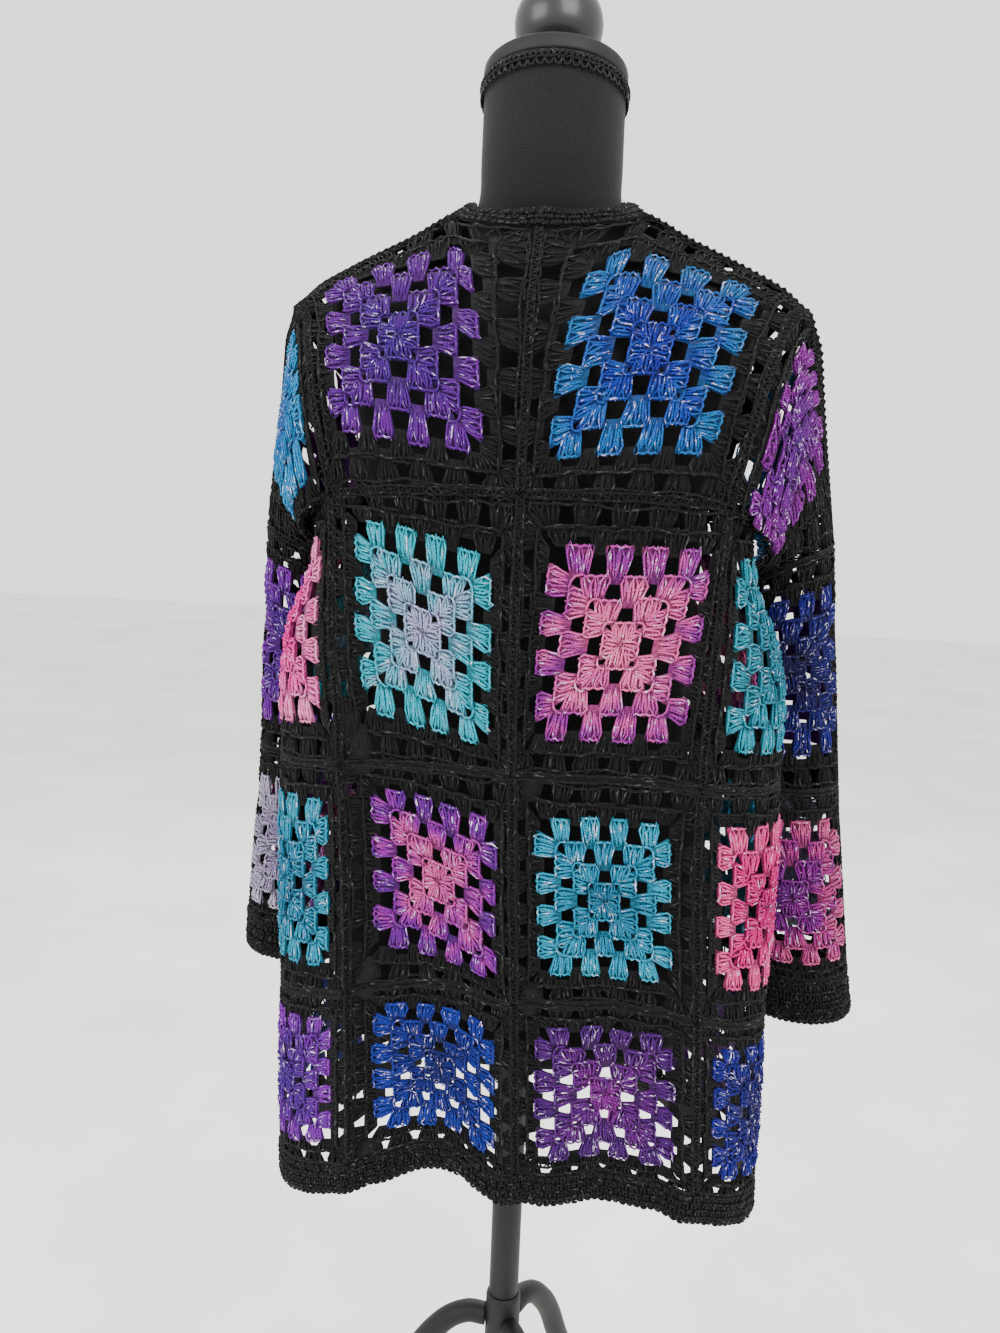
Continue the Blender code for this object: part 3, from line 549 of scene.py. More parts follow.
class Strands:
    def __init__(self):
        self.groups = []

    def add(self, points, radii, slot, tone):
        # points: strands x steps x 3; radii, slot and tone fit any of these
        points = np.asarray(points, float)
        count, steps = points.shape[:2]
        self.groups.append((points, np.broadcast_to(radii, (count, steps)),
                            np.broadcast_to(slot, (count,)), np.broadcast_to(tone, (count, steps))))

    def build(self, name, materials, rng):
        line = bpy.data.curves.new(name, "CURVE")
        line.dimensions = "3D"
        line.bevel_depth = 1.0
        line.bevel_resolution = 0
        sides = 4                                          # what that resolution gives a strand
        for made in materials:
            line.materials.append(made)
        tones, lengths, marks = [], [], []
        for points, radii, slots, tone in self.groups:
            count, steps = points.shape[:2]
            for k in range(count):
                spline = line.splines.new("POLY")
                spline.points.add(steps - 1)
                spline.points.foreach_set("co", np.column_stack([points[k], np.ones(steps)]).ravel())
                spline.points.foreach_set("radius", radii[k].copy())
                spline.material_index = int(slots[k])
            tones.append(np.repeat(tone.ravel(), sides))
            lengths.append(np.repeat(np.linalg.norm(np.diff(points, axis=1), axis=2).sum(1), steps * sides))
            marks.append(np.repeat(rng.random(count) * 50, steps * sides))
        layers = {"tone": tones, "strandLength": lengths, "strandMark": marks}
        data = meshOfCurve(line, 0.00002, {key: np.concatenate(values) for key, values in layers.items()})
        data.name = name
        return keepPiece(name, data)


def keepPiece(name, data):
    piece = bpy.data.objects.new(name, data)
    scene.collection.objects.link(piece)
    for face in data.polygons:
        face.use_smooth = True
    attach(piece, "root")
    return piece


def spindle(steps, radius, tip=0.004):
    # a strand's radius at its steps, drawn to a point at both ends so that it is closed
    radii = np.full(steps, radius)
    radii[0] = radii[-1] = radius * tip
    return radii


square = {
    "reach": (0, 0.19, 0.38, 0.57, 0.765, 0.87, 0.985),   # where each round ends, of the half square
    "yokeReach": (0, 0.18, 0.36, 0.54, 0.73, 0.85, 0.985),
    "pitch": 0.33,                                        # the groups stand one pitch apart, in brick order
    "cornerSpread": 0.025, "sink": 0.065, "cornerSink": 0.02, "colouredRounds": 4,
    "strand": 0.0009, "jitter": 0.0006, "puff": 0.0018, "chainStep": 0.0040,
    "web": (-0.0007, -0.0019), "webMargin": 0.02,         # the web's two faces under the cloth, and its rim
    "coverAtMost": 0.98,
}
# a group of three trebles: how wide it is at shares of its height, in shares of the pitch
outline = {"coloured": ((-0.3, 0.0, 0.3, 0.6, 0.85, 1.0), (0.22, 0.24, 0.27, 0.315, 0.365, 0.365)),
           "black": ((-0.3, 0.0, 0.3, 0.6, 0.85, 1.0), (0.18, 0.22, 0.27, 0.32, 0.35, 0.345))}
# a treble's loop of yarn: how high it is, on which side, and how far off the cloth
loops = {"coloured": (np.array([-0.3, 0.15, 0.70, 1.02, 0.70, 0.15, -0.3]),
                      np.array([-1, -1, -1, 0, 1, 1, 1]),
                      np.array([-0.0006, 0.0004, 0.0013, 0.0006, 0.0013, 0.0004, -0.0006])),
         "black": (np.array([-0.3, 0.55, 1.02, 0.55, -0.3]), np.array([-1, -1, 0, 1, 1]),
                   np.array([-0.0006, 0.0013, 0.0007, 0.0013, -0.0006]))}
quarters = [(np.array(v, float), np.array(w, float)) for v, w in
            (((1, 0), (0, 1)), ((0, -1), (1, 0)), ((-1, 0), (0, -1)), ((0, 1), (-1, 0)))]


def clusters(surface, rng, reach):
    # for each group its round, base, top, pitch and how far its base reaches down, in shares
    # of the half square
    half = np.array([surface["width"], surface["length"]]) / 2
    rows = []
    for n in range(1, len(reach)):
        for along, away in quarters:
            for j in range(n):
                at = (j - (n - 1) / 2) * square["pitch"]
                corner = math.copysign(square["cornerSpread"], at) if n > 1 and j in (0, n - 1) else 0
                rows.append((n, along * (at + corner * 0.2) + away * (reach[n - 1] if n > 1 else 0.03),
                             along * (at + corner) + away * (reach[n] - abs(corner) * 0.25),
                             along * square["pitch"], square["cornerSink" if corner else "sink"] / (
                                 reach[n] - reach[n - 1])))
    rounds, base, top, pitch, sink = (np.array(column) for column in zip(*rows))
    base = base + rng.normal(0, square["jitter"], base.shape) / half
    top = top + rng.normal(0, square["jitter"] * 1.3, top.shape) / half
    pitch = pitch * rng.normal(1, 0.05, (len(rows), 1)) * np.where(rounds == 4, 0.9, 1)[:, None]
    return {"rounds": rounds, "base": base, "top": top, "pitch": pitch, "sink": sink}


def drifted(x, y, drift):
    # a square's middle slides, slants and spreads where the cloth is pulled, and its edges stay
    slideX, slideY, slantX, slantY, growX, growY = drift
    return (x + (slideX + slantX * y + growX * x) * (1 - x ** 4),
            y + (slideY + slantY * x + growY * y) * (1 - y ** 4))


def placer(surface, layout, drift, fat):
    base, top, across = (layout[key][:, None] for key in ("base", "top", "pitch"))

    def place(a, b, w):
        # a: sideways in shares of the pitch, b: up in shares of the height; groups x steps
        b = np.where(b < 0, b / 0.3 * layout["sink"][:, None], b)
        flat = base + (top - base) * b[..., None] + across * (a * fat)[..., None]
        x, y = flat[..., 0], flat[..., 1]
        w = w + puff(x, y)
        x, y = drifted(x, y, drift)
        return onSurface(surface, (np.clip(x, -1, 1) + 1) / 2, (1 - np.clip(y, -1, 1)) / 2, w)
    return place


def puff(x, y):
    # a square stands a little prouder in its middle than at its joins
    return square["puff"] * np.clip(1 - x * x, 0, 1) * np.clip(1 - y * y, 0, 1)


def roundTone(n, black):
    # where a round's dye lies between the centre's (0) and the last coloured round's (1)
    last = square["colouredRounds"]
    return np.where(n <= last, (n - 0.5) / last, black)


def squareStrands(surface, layout, rng, reach, drift, fat):
    rounds = layout["rounds"]
    groups = len(rounds)
    coloured = rounds <= square["colouredRounds"]
    place = placer(surface, layout, drift, fat)
    r = square["strand"]
    made = Strands()

    def add(a, b, w, radii, who):
        shape = (groups, len(radii))
        a, b, w = (np.broadcast_to(v, shape) for v in (a, b, w))
        points = place(a, b, w)[who]
        n = rounds[who]
        tone = roundTone(n, 0.5)[:, None] + (b[who] - 0.5) * 0.18
        tone = tone + rng.normal(0, 0.06, (len(n), 1))
        made.add(points, radii, (n > square["colouredRounds"]).astype(int), tone)

    def addChain(x, y, w, radius, slot, tone):
        w = w + puff(x, y)
        x, y = drifted(x, y, drift)
        made.add(onSurface(surface, (x + 1) / 2, (1 - y) / 2, w)[None], spindle(len(w), radius), slot, tone)

    def wide(b, kind):
        return np.interp(b, *outline[kind])
    for kind, who in (("coloured", coloured), ("black", ~coloured)):
        for i in (-1, 0, 1):
            # each treble is a long loop of yarn: up one leg, over the top and down the other
            b, side, w = loops[kind]
            b = b + 0.02 * abs(i) * (side == 0)
            a = wide(b, kind) * (0.70 * i + 0.25 * side)
            steps = len(b)
            a = a + rng.normal(0, 0.02, (groups, steps))
            b = b + rng.normal(0, 0.04, (groups, 1)) + rng.normal(0, 0.015, (groups, steps))
            w = w - 0.0004 * abs(i) + rng.normal(0, 0.0003, (groups, steps))
            add(a, b, w, spindle(steps, r), who)
            if kind == "black":
                continue
            b = np.array([-0.05, 0.30, 0.66, 0.95])
            a = wide(b, kind) * 0.70 * i + rng.normal(0, 0.018, (groups, 4))
            add(a, b, np.array([0.0002, 0.0016, 0.0023, 0.0012]) - 0.0004 * abs(i), spindle(4, r), who)
            # the yarn round the post, slanting
            b = np.array([0.34, 0.42, 0.50]) + 0.05 * i
            a = wide(b, kind) * (0.70 * i + np.array([-0.25, 0, 0.25]))
            add(a, b, np.array([0.0010, 0.0028, 0.0012]) - 0.0004 * abs(i), spindle(3, r * 0.9), who)
        # the chain along a group's top
        count = 7 if kind == "coloured" else 6
        k = np.arange(count)
        a = np.linspace(-1, 1, count)
        b = 0.955 + 0.03 * (-1.0) ** k + 0.04 * np.abs(a)
        add(a * 0.33, b, 0.0012 + 0.0006 * (-1.0) ** k, spindle(count, r * 1.05), who)
    # a short chain crosses each corner, with a gap left inside it
    t = np.linspace(0, 1, 6)
    for n in range(1, 4):
        in1, out1 = reach[n] * 0.99, (n - 1) / 2 * square["pitch"] + 0.085
        for sx, sy in ((1, 1), (1, -1), (-1, 1), (-1, -1)):
            x = (1 - t) ** 2 * in1 + 2 * t * (1 - t) * (in1 + 0.035) + t * t * out1
            y = (1 - t) ** 2 * out1 + 2 * t * (1 - t) * (in1 + 0.035) + t * t * in1
            addChain(sx * x, sy * y, 0.0003 + 0.0006 * (-1.0) ** np.arange(6), r * 1.1, 0, n / 4)
    # each black round ends in one long chain
    half = np.array([surface["width"], surface["length"]]) / 2
    for outer in (reach[5], reach[6] - 0.01):
        for along, away in quarters:
            steps = int(abs(along @ half) * 2 * outer / square["chainStep"])
            t = np.linspace(-1.0, 1.0, steps)
            bow = outer * (1 - 0.02 * (1 - t * t)) + 0.008 * np.sin(t * 9 + rng.random() * 6)
            flat = along * (t * outer)[:, None] + away * bow[:, None] + rng.normal(0, 0.003, (steps, 2))
            addChain(*flat.T, 0.0008 + 0.0007 * (-1.0) ** np.arange(steps), r * 1.2, 1, 0.8)
    return made


def petalPlate(kind):
    # the body of one group: a thin plate with its outline, in shares of the pitch and the height
    heights, widths = outline[kind]
    up, margin = list(zip(heights, widths)), square["webMargin"]
    rim = [(-wide - margin, high) for high, wide in up] + [(wide + margin, high) for high, wide in up[::-1]]
    bm = bmesh.new()
    bmesh.ops.create_circle(bm, cap_ends=True, segments=len(rim), radius=1)
    for vert, place in zip(bm.verts, rim):
        vert.co = (*place, 0)
    raised = bmesh.ops.extrude_face_region(bm, geom=bm.faces[:])
    for item in raised["geom"]:
        if isinstance(item, bmesh.types.BMVert):
            item.co.z = 1
    bmesh.ops.recalc_face_normals(bm, faces=bm.faces)
    bmesh.ops.triangulate(bm, faces=bm.faces)
    verts = np.array([v.co[:] for v in bm.verts])
    faces = np.array([[v.index for v in f.verts] for f in bm.faces])
    bm.free()
    return verts, faces


plates = {kind: petalPlate(kind) for kind in outline}


def squareWeb(name, surface, layout, drift, fat, materials):
    rounds = layout["rounds"]
    place = placer(surface, layout, drift, fat)
    points, every, slots, tones = [], [], [], []
    at = 0
    for slot, kind in enumerate(("coloured", "black")):
        verts, faces = plates[kind]
        who = (rounds > square["colouredRounds"]) == (kind == "black")
        shape = (len(rounds), len(verts))
        w = np.where(verts[:, 2] > 0.5, *square["web"])
        placed = place(*(np.broadcast_to(v, shape) for v in (verts[:, 0], verts[:, 1], w)))[who]
        count = len(placed)
        points.append(placed.reshape(-1, 3))
        every.append((faces[None] + np.arange(count)[:, None, None] * len(verts)).reshape(-1, 3) + at)
        slots.append(np.full(count * len(faces), slot))
        tones.append(np.repeat(roundTone(rounds[who], 0.3), len(verts)))
        at += count * len(verts)
    data = bpy.data.meshes.new(name)
    data.from_pydata(np.concatenate(points).tolist(), [], np.concatenate(every).tolist())
    data.polygons.foreach_set("material_index", np.concatenate(slots).astype("i4"))
    # inShade marks the whole web for the painted shade under the strands
    addLayers(data, {"tone": np.concatenate(tones), "inShade": 1.0})
    data.uv_layers.new(name="UVMap")
    bm = bmesh.new()
    bm.from_mesh(data)
    bmesh.ops.recalc_face_normals(bm, faces=bm.faces)
    bm.to_mesh(data)
    bm.free()
    for made in materials:
        data.materials.append(made)
    return keepPiece(name, data)


def panelList():
    made = []
    bodyDyes = {1: ("tealMist", "pinkMagenta", "pink", "teal", "tealMist", "pinkMagenta"),
                2: ("pinkPurple", "turquoise", "turquoise", "rose", "pinkPurple", "turquoise"),
                3: ("royal", "plum", "purple", "indigo", "royal", "plum")}
    for row, names in bodyDyes.items():
        first, last = row - 1, hemTop() if row == 3 else row
        for k, place in enumerate(("back", "side", "front")):
            for side, word in ((1, "left"), (-1, "right")):
                def point(a, d, k=k, side=side, first=first, last=last):
                    return bodyPoint(side * max(k + a, 1e-6), first + d * (last - first))
                made.append((f"{place}_{word}_row_{row}", point, inTorso, names[2 * k + (side < 0)]))
    for side, word, *names in ((1, "left", "violet", "blue"), (-1, "right", "blue", "violet")):
        for place, shape, dye in (("back", yokeBack, names[0]), ("front", yokeFront, names[1])):
            def point(a, d, side=side, shape=shape):
                return mirrored(shape(a, 1 - d), side)
            made.append((f"yoke_{place}_{word}", point, inTorso, dye))
    sleeveDyes = {"left": (("sky", "magenta"), ("purple", "navy"), ("mist", "pinkRound")),
                  "right": (("magenta", "sky"), ("navy", "purple"), ("pinkRound", "mist"))}
    for half, part in enumerate(("back", "front")):
        for side, word in ((1, "left"), (-1, "right")):
            for row, names in enumerate(sleeveDyes[word], 1):
                def point(a, d, side=side, half=half, row=row):
                    if row == 1:
                        return sleeveHead(a, d, side, half)
                    return ringPoint(row - 1 + d, (half + a) / 2, side)
                made.append((f"sleeve_{word}_{part}_row_{row}", point, inSleeve, names[half]))
    return made


surfaces = {}


# how each square's middle moves, in shares of its half: slides x, y, slants x by y, y by x, spreads x, y
drifts = {
    "yoke_back_left": (0.09, 0.04, 0.0, 0.20, 0.0, -0.08),
    "yoke_back_right": (-0.05, -0.04, 0.06, 0.12, 0.0, -0.08),
    "yoke_front_left": (-0.03, 0.0, 0.0, 0.0, 0.0, 0.0),
    "yoke_front_right": (-0.03, 0.0, 0.0, 0.0, 0.0, 0.0),
    "back_left_row_1": (-0.05, 0.0, 0.0, 0.22, -0.08, -0.13),
    "back_left_row_2": (-0.12, 0.0, 0.0, 0.22, -0.05, -0.07),
    "back_left_row_3": (-0.08, 0.0, 0.0, 0.12, -0.05, -0.05),
    "back_right_row_1": (0.04, -0.02, 0.10, 0.02, 0.03, -0.15),
    "back_right_row_2": (-0.01, -0.02, 0.0, 0.0, -0.08, -0.12),
    "back_right_row_3": (0.0, -0.03, 0.0, 0.0, 0.0, 0.0),
    "side_left_row_1": (0.0, 0.0, 0.0, 0.0, 0.0, -0.14),
    "side_right_row_1": (0.0, -0.03, 0.0, 0.0, 0.0, -0.14),
    "side_right_row_2": (0.0, 0.03, 0.0, 0.0, 0.0, -0.14),
    "side_right_row_3": (0.0, 0.0, 0.0, 0.0, 0.0, 0.0),
    "sleeve_left_back_row_1": (-0.42, 0.18, 0.0, 0.0, -0.3, -0.36),
    "sleeve_right_back_row_1": (-0.12, 0.26, 0.0, 0.0, 0.0, -0.44),
    "sleeve_right_back_row_2": (0.0, 0.05, 0.0, 0.0, 0.0, -0.16),
}


def fatness(name):
    # the groups keep their size, so they stand closer where a square is narrow
    if name.startswith("yoke"):
        return 1.0
    return 1.18 if name.endswith("row_3") else 1.08


def makeSquares():
    for seed, (name, point, inside, dye) in enumerate(panelList()):
        surface = sampled(point, inside)
        surfaces[name] = surface
        look = [yarns[dye], blackYarn]
        rng = np.random.default_rng(seed)
        reach = square["yokeReach" if name.startswith("yoke") else "reach"]
        drift = drifts.get(name, (*rng.normal(0, 0.012, 4), 0.0, -0.08))
        fat = fatness(name)
        layout = clusters(surface, rng, reach)
        web = squareWeb(f"web_{name}", surface, layout, drift, fat, look)
        stitches = squareStrands(surface, layout, rng, reach, drift, fat).build(f"stitches_{name}", look, rng)
        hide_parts(name)
    print("squares done")


makeSquares()


def edgeLine(name, edge, step, start=0.0, end=1.0):
    # points, outward normals and the direction across an edge of a panel, every step metres
    surface = surfaces[name]
    pick = {"left": (slice(None), 0), "right": (slice(None), -1), "top": (0, slice(None)),
            "bottom": (-1, slice(None))}[edge]
    points, normals = surface["points"][pick] + centre, surface["normals"][pick]
    reach = np.concatenate([[0], np.cumsum(np.linalg.norm(np.diff(points, axis=0), axis=1))])
    total = reach[-1]
    at = np.linspace(start * total, end * total, max(4, int((end - start) * total / step)))
    points, normals = (np.column_stack([np.interp(at, reach, v[:, i]) for i in range(3)])
                       for v in (points, normals))
    normals /= np.linalg.norm(normals, axis=1, keepdims=True)
    across = np.cross(np.gradient(points, axis=0), normals)
    across /= np.linalg.norm(across, axis=1, keepdims=True)
    return points, normals, across


join = {
    "step": 0.0031, "rail": 0.0023, "railRadius": 0.00125, "railLift": 0.0010, "railWave": 0.0005,
    "wobble": 0.0003, "core": 0.0027, "coreDepth": 0.0013,
    "zigzag": 0.0030, "height": 0.0022, "rungWave": 0.0006,
}


def addJoin(made, rng, name, edge, start=0.0, end=1.0, ladder=True):
    points, normals, across = edgeLine(name, edge, join["step"], start, end)
    count = len(points)
    k = np.arange(count)
    for side in (-1, 1):
        wobble = rng.normal(0, join["wobble"], (count, 1))
        lift = (join["railLift"] + join["railWave"] * (-1.0) ** (k + (side > 0)))[:, None]
        rail = points + across * (side * join["rail"] + wobble) + normals * lift
        made.add(rail[None], spindle(count, join["railRadius"]), 0, 0.8)
    # the seam's own thickness, under its two rails
    core = points - normals * join["coreDepth"]
    made.add(core[None], spindle(count, join["core"]), 0, 0.2)
    if ladder:
        swing = np.where(k % 2, 1, -1) * join["zigzag"] * rng.normal(1, 0.1, count)
        lift = (join["height"] - join["rungWave"] * (k % 2))[:, None]
        rungs = points + across * swing[:, None] + normals * lift
        made.add(rungs[None], spindle(count, join["railRadius"]), 0, 0.65)


def makeJoins():
    rng = np.random.default_rng(77)
    groups = {"back": Strands(), "sides": Strands(), "rows": Strands(), "sleeves": Strands()}
    for row in (1, 2, 3):
        addJoin(groups["back"], rng, f"back_left_row_{row}", "left")
        for word in ("left", "right"):
            addJoin(groups["sides"], rng, f"back_{word}_row_{row}", "right")
            addJoin(groups["sides"], rng, f"side_{word}_row_{row}", "right")
            for place in ("back", "side", "front"):
                addJoin(groups["rows"], rng, f"{place}_{word}_row_{row}", "top", ladder=row == 1)
                if row == 3:
                    addJoin(groups["rows"], rng, f"{place}_{word}_row_3", "bottom", ladder=False)
    addJoin(groups["back"], rng, "yoke_back_left", "left")
    for word in ("left", "right"):
        addJoin(groups["back"], rng, f"yoke_back_{word}", "top", cut["neckAt"] + 0.02, 1.0)
        addJoin(groups["sleeves"], rng, f"yoke_back_{word}", "right")
        addJoin(groups["sleeves"], rng, f"yoke_front_{word}", "left")
        for row in (1, 2, 3):
            addJoin(groups["sleeves"], rng, f"sleeve_{word}_back_row_{row}", "left")
            addJoin(groups["sleeves"], rng, f"sleeve_{word}_back_row_{row}", "right")
            for part in ("back", "front"):
                if row > 1:
                    addJoin(groups["rows"], rng, f"sleeve_{word}_{part}_row_{row}", "top", ladder=False)
                if row == 3:
                    addJoin(groups["rows"], rng, f"sleeve_{word}_{part}_row_3", "bottom", ladder=False)
    for name, strands in groups.items():
        strands.build(f"joins_{name}", [blackYarn], rng)
    print("joins done")


makeJoins()


band = {"stitch": 0.0056, "rowHeight": 0.0064, "radius": 0.00115, "web": 0.0016}


def bandStitches(surface, rng):
    # rows of double and single crochet: each stitch is a V with a loose link of chain over its top
    made = Strands()
    width, height = surface["width"], surface["length"]
    rows = max(2, round(height / band["rowHeight"]))
    count = int(width / band["stitch"])
    step, r = 1 / count, band["radius"]
    for row in range(rows):
        low, high = (row + 1.10) / rows, (row + 0.04) / rows
        x = (np.arange(count) + 0.5 + 0.4 * (row % 2))[:, None] / (count + 0.5)
        x = x + rng.normal(0, 0.10 * step, (count, 1))
        tone = np.clip(0.5 + rng.normal(0, 0.25, (count, 1)), 0, 1)
        lift = rng.normal(0, 0.0003, (count, 1))
        for lean in (-1, 1):
            sideways = np.array([0.05, 0.20, 0.34, 0.30]) * lean * step
            y = np.array([low, low * 0.6 + high * 0.4, low * 0.25 + high * 0.75, high])
            w = np.array([-0.0002, 0.0015, 0.0018, 0.0006]) + lift
            made.add(onSurface(surface, np.clip(x + sideways + rng.normal(0, 0.06 * step, (count, 4)), 0, 1),
                               np.clip(y + rng.normal(0, 0.05 / rows, (count, 4)), -0.05, 1.06), w),
                     spindle(4, r), 0, np.broadcast_to(tone, (count, 4)))
        sideways = np.array([-0.62, -0.25, 0.25, 0.62]) * step
        y = high + np.array([0.10, -0.05, -0.03, 0.10]) / rows + rng.normal(0, 0.03 / rows, (count, 1))
        w = np.array([0.0006, 0.0025, 0.0022, 0.0006]) + lift
        made.add(onSurface(surface, np.clip(x + sideways, 0, 1), np.clip(y, -0.05, 1.06), w),
                 spindle(4, r), 0, np.broadcast_to(tone * 0.8, (count, 4)))
    # the last row's edge
    x = (np.arange(count) + 0.5)[:, None] / count + np.array([-0.6, -0.2, 0.2, 0.6]) * step
    y = 1.0 + np.array([0.0, 0.10, 0.10, 0.0]) / rows + rng.normal(0, 0.03 / rows, (count, 1))
    w = np.array([-0.0004, 0.0006, 0.0003, -0.0006]) + rng.normal(0, 0.0003, (count, 1))
    made.add(onSurface(surface, np.clip(x, 0, 1), y, w), spindle(4, r * 1.1), 0, 0.7)
    return made


def bandWeb(name, surface, closed):
    # a thin strip under the stitches
    down, across = surface["points"].shape[:2]
    bm = bmesh.new()
    bmesh.ops.create_grid(bm, x_segments=across - 1, y_segments=down - 1, size=0.5)
    for k, vert in enumerate(sorted(bm.verts, key=lambda v: (round(v.co.y, 5), round(v.co.x, 5)))):
        j, i = divmod(k, across)
        vert.co = onSurface(surface, np.array(i / (across - 1)), np.array(j / (down - 1)), np.array(0.0002))
    bmesh.ops.recalc_face_normals(bm, faces=bm.faces)
    if closed:
        bmesh.ops.remove_doubles(bm, verts=bm.verts, dist=0.0001)
    # a strip has no inside, so its normals are turned to the surface's own
    bm.faces.ensure_lookup_table()
    face = bm.faces[0]
    near = np.array(face.calc_center_median()) - centre
    k = np.argmin(np.linalg.norm(surface["points"].reshape(-1, 3) - near, axis=1))
    face.normal_update()
    if face.normal.dot(Vector(surface["normals"].reshape(-1, 3)[k])) < 0:
        bmesh.ops.reverse_faces(bm, faces=bm.faces)
    bmesh.ops.solidify(bm, geom=bm.faces[:], thickness=band["web"])
    data = meshOf(name, bm, blackYarn)
    addLayers(data, {"tone": 0.3})
    data.uv_layers.new(name="UVMap")
    return keepPiece(name, data)


def neckFree(p):
    radial = np.array([p[0], max(p[1], 0), 0]) / math.hypot(p[0], max(p[1], 0))
    middle = max(0, 1 - abs(p[0]) / 0.06) * 0.006      # the band stands a little higher at the nape
    return p - radial * cut["neckBand"] * 0.8 + np.array([0, 0, cut["neckBand"] * 0.6 + middle])


def bandSurfaces():
    made = {}
    top = hemTop()
    columns = np.linspace(-3, 3, 121)
    made["hem_band"] = surfaceOf(np.array([[bodyPoint(c, v) for c in columns]
                                           for v in np.linspace(top, 3, 4)]), inTorso)
    seam = [pointOn(yokeBackTop, a) for a in np.linspace(0, cut["neckAt"], 14)]
    seam = [mirrored(p, -1) for p in seam[:0:-1]] + seam
    free = [neckFree(p) for p in seam]
    made["neck_band"] = surfaceOf(np.array([[(1 - t) * a + t * b for a, b in zip(free, seam)]
                                            for t in (1, 0.5, 0)]), inTorso)
    for side, word in ((1, "left"), (-1, "right")):
        edge, free = [], []
        for d in np.linspace(0, 1, 16)[:-1]:
            at, rise = yokeFront(1, 1 - d), max(0, 1 - d / 0.45)
            out = at - yokeFront(0.92, 1 - d)
            reach = (1 - rise) * (at + out * cut["band"] / np.linalg.norm(out)) + rise * neckFree(at)
            edge.append(mirrored(at, side))
            free.append(mirrored(reach, side))
        for level in np.linspace(0, 3, 45):
            pitch = curveAt(levels, "join3", level) - curveAt(levels, "join2", level)
            edge.append(bodyPoint(side * 3, level))
            free.append(bodyPoint(side * (3 + cut["band"] / pitch), level))
        rows = [[(1 - t) * a + t * b for a, b in zip(edge, free)] for t in (0, 0.5, 1)]
        made[f"front_band_{word}"] = surfaceOf(np.array(rows), inTorso)
        made[f"cuff_{word}"] = surfaceOf(np.array([[ringPoint(3 + d, t, side) for t in np.linspace(0, 1, 61)]
                                                   for d in np.linspace(0, 1, 4)]), inSleeve)
    return made


def makeBands():
    rng = np.random.default_rng(5)
    for name, surface in bandSurfaces().items():
        stitches = bandStitches(surface, rng).build(f"stitches_{name}", [blackYarn], rng)
        web = bandWeb(f"web_{name}", surface, name.startswith("cuff"))
        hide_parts(name)
    print("bands done")


makeBands()


form = readTable(
    "level height halfWidth back front power tilt",
    (0, 0.640, 0.158, 0.106, -0.098, 2.1, 0),
    (1, 0.660, 0.163, 0.112, -0.104, 2.1, 0),
    (2, 0.720, 0.166, 0.117, -0.108, 2.1, 0),
    (3, 0.800, 0.158, 0.110, -0.103, 2.1, 0),
    (4, 0.880, 0.141, 0.095, -0.094, 2.1, 0),
    (5, 0.940, 0.131, 0.088, -0.090, 2.1, 0),
    (6, 1.000, 0.136, 0.094, -0.100, 2.1, 0),
    (7, 1.060, 0.140, 0.106, -0.112, 2.1, 0),
    (8, 1.110, 0.144, 0.115, -0.112, 2.1, 0),
    (9, 1.160, 0.152, 0.117, -0.104, 2.1, 0),
    (10, 1.200, 0.166, 0.108, -0.090, 2.1, 0),
    (11, 1.230, 0.178, 0.090, -0.068, 2.1, 0),
    (12, 1.250, 0.180, 0.072, -0.050, 2.0, 0),
    (13, 1.270, 0.160, 0.055, -0.040, 2.0, 0),
    (14, 1.290, 0.122, 0.042, -0.031, 2.0, 0),
    (15, 1.305, 0.088, 0.036, -0.028, 2.0, 0),
    (16, 1.318, 0.065, 0.046, -0.040, 2.0, 0),
    (17, 1.335, 0.0575, 0.052, -0.048, 2.0, 0.03),
    (18, 1.360, 0.0570, 0.0580, -0.0520, 2.0, 0.08),
    (19, 1.400, 0.0565, 0.0592, -0.0538, 2.0, 0.14),
    (20, 1.419, 0.0565, 0.0565, -0.0565, 2.0, 0.14),
)
formLook = {"sides": 72, "rings": 81}


def formRing(level, turns):
    row = {name: curveAt(form, name, level) for name in form}
    c, s = np.cos(turns), np.sin(turns)
    x = row["halfWidth"] * np.copysign(np.abs(c) ** (2 / row["power"]), c)
    y = np.where(s > 0, row["back"], -row["front"]) * np.copysign(np.abs(s) ** (2 / row["power"]), s)
    return np.column_stack([x, y, row["height"] + row["tilt"] * y]) + centre


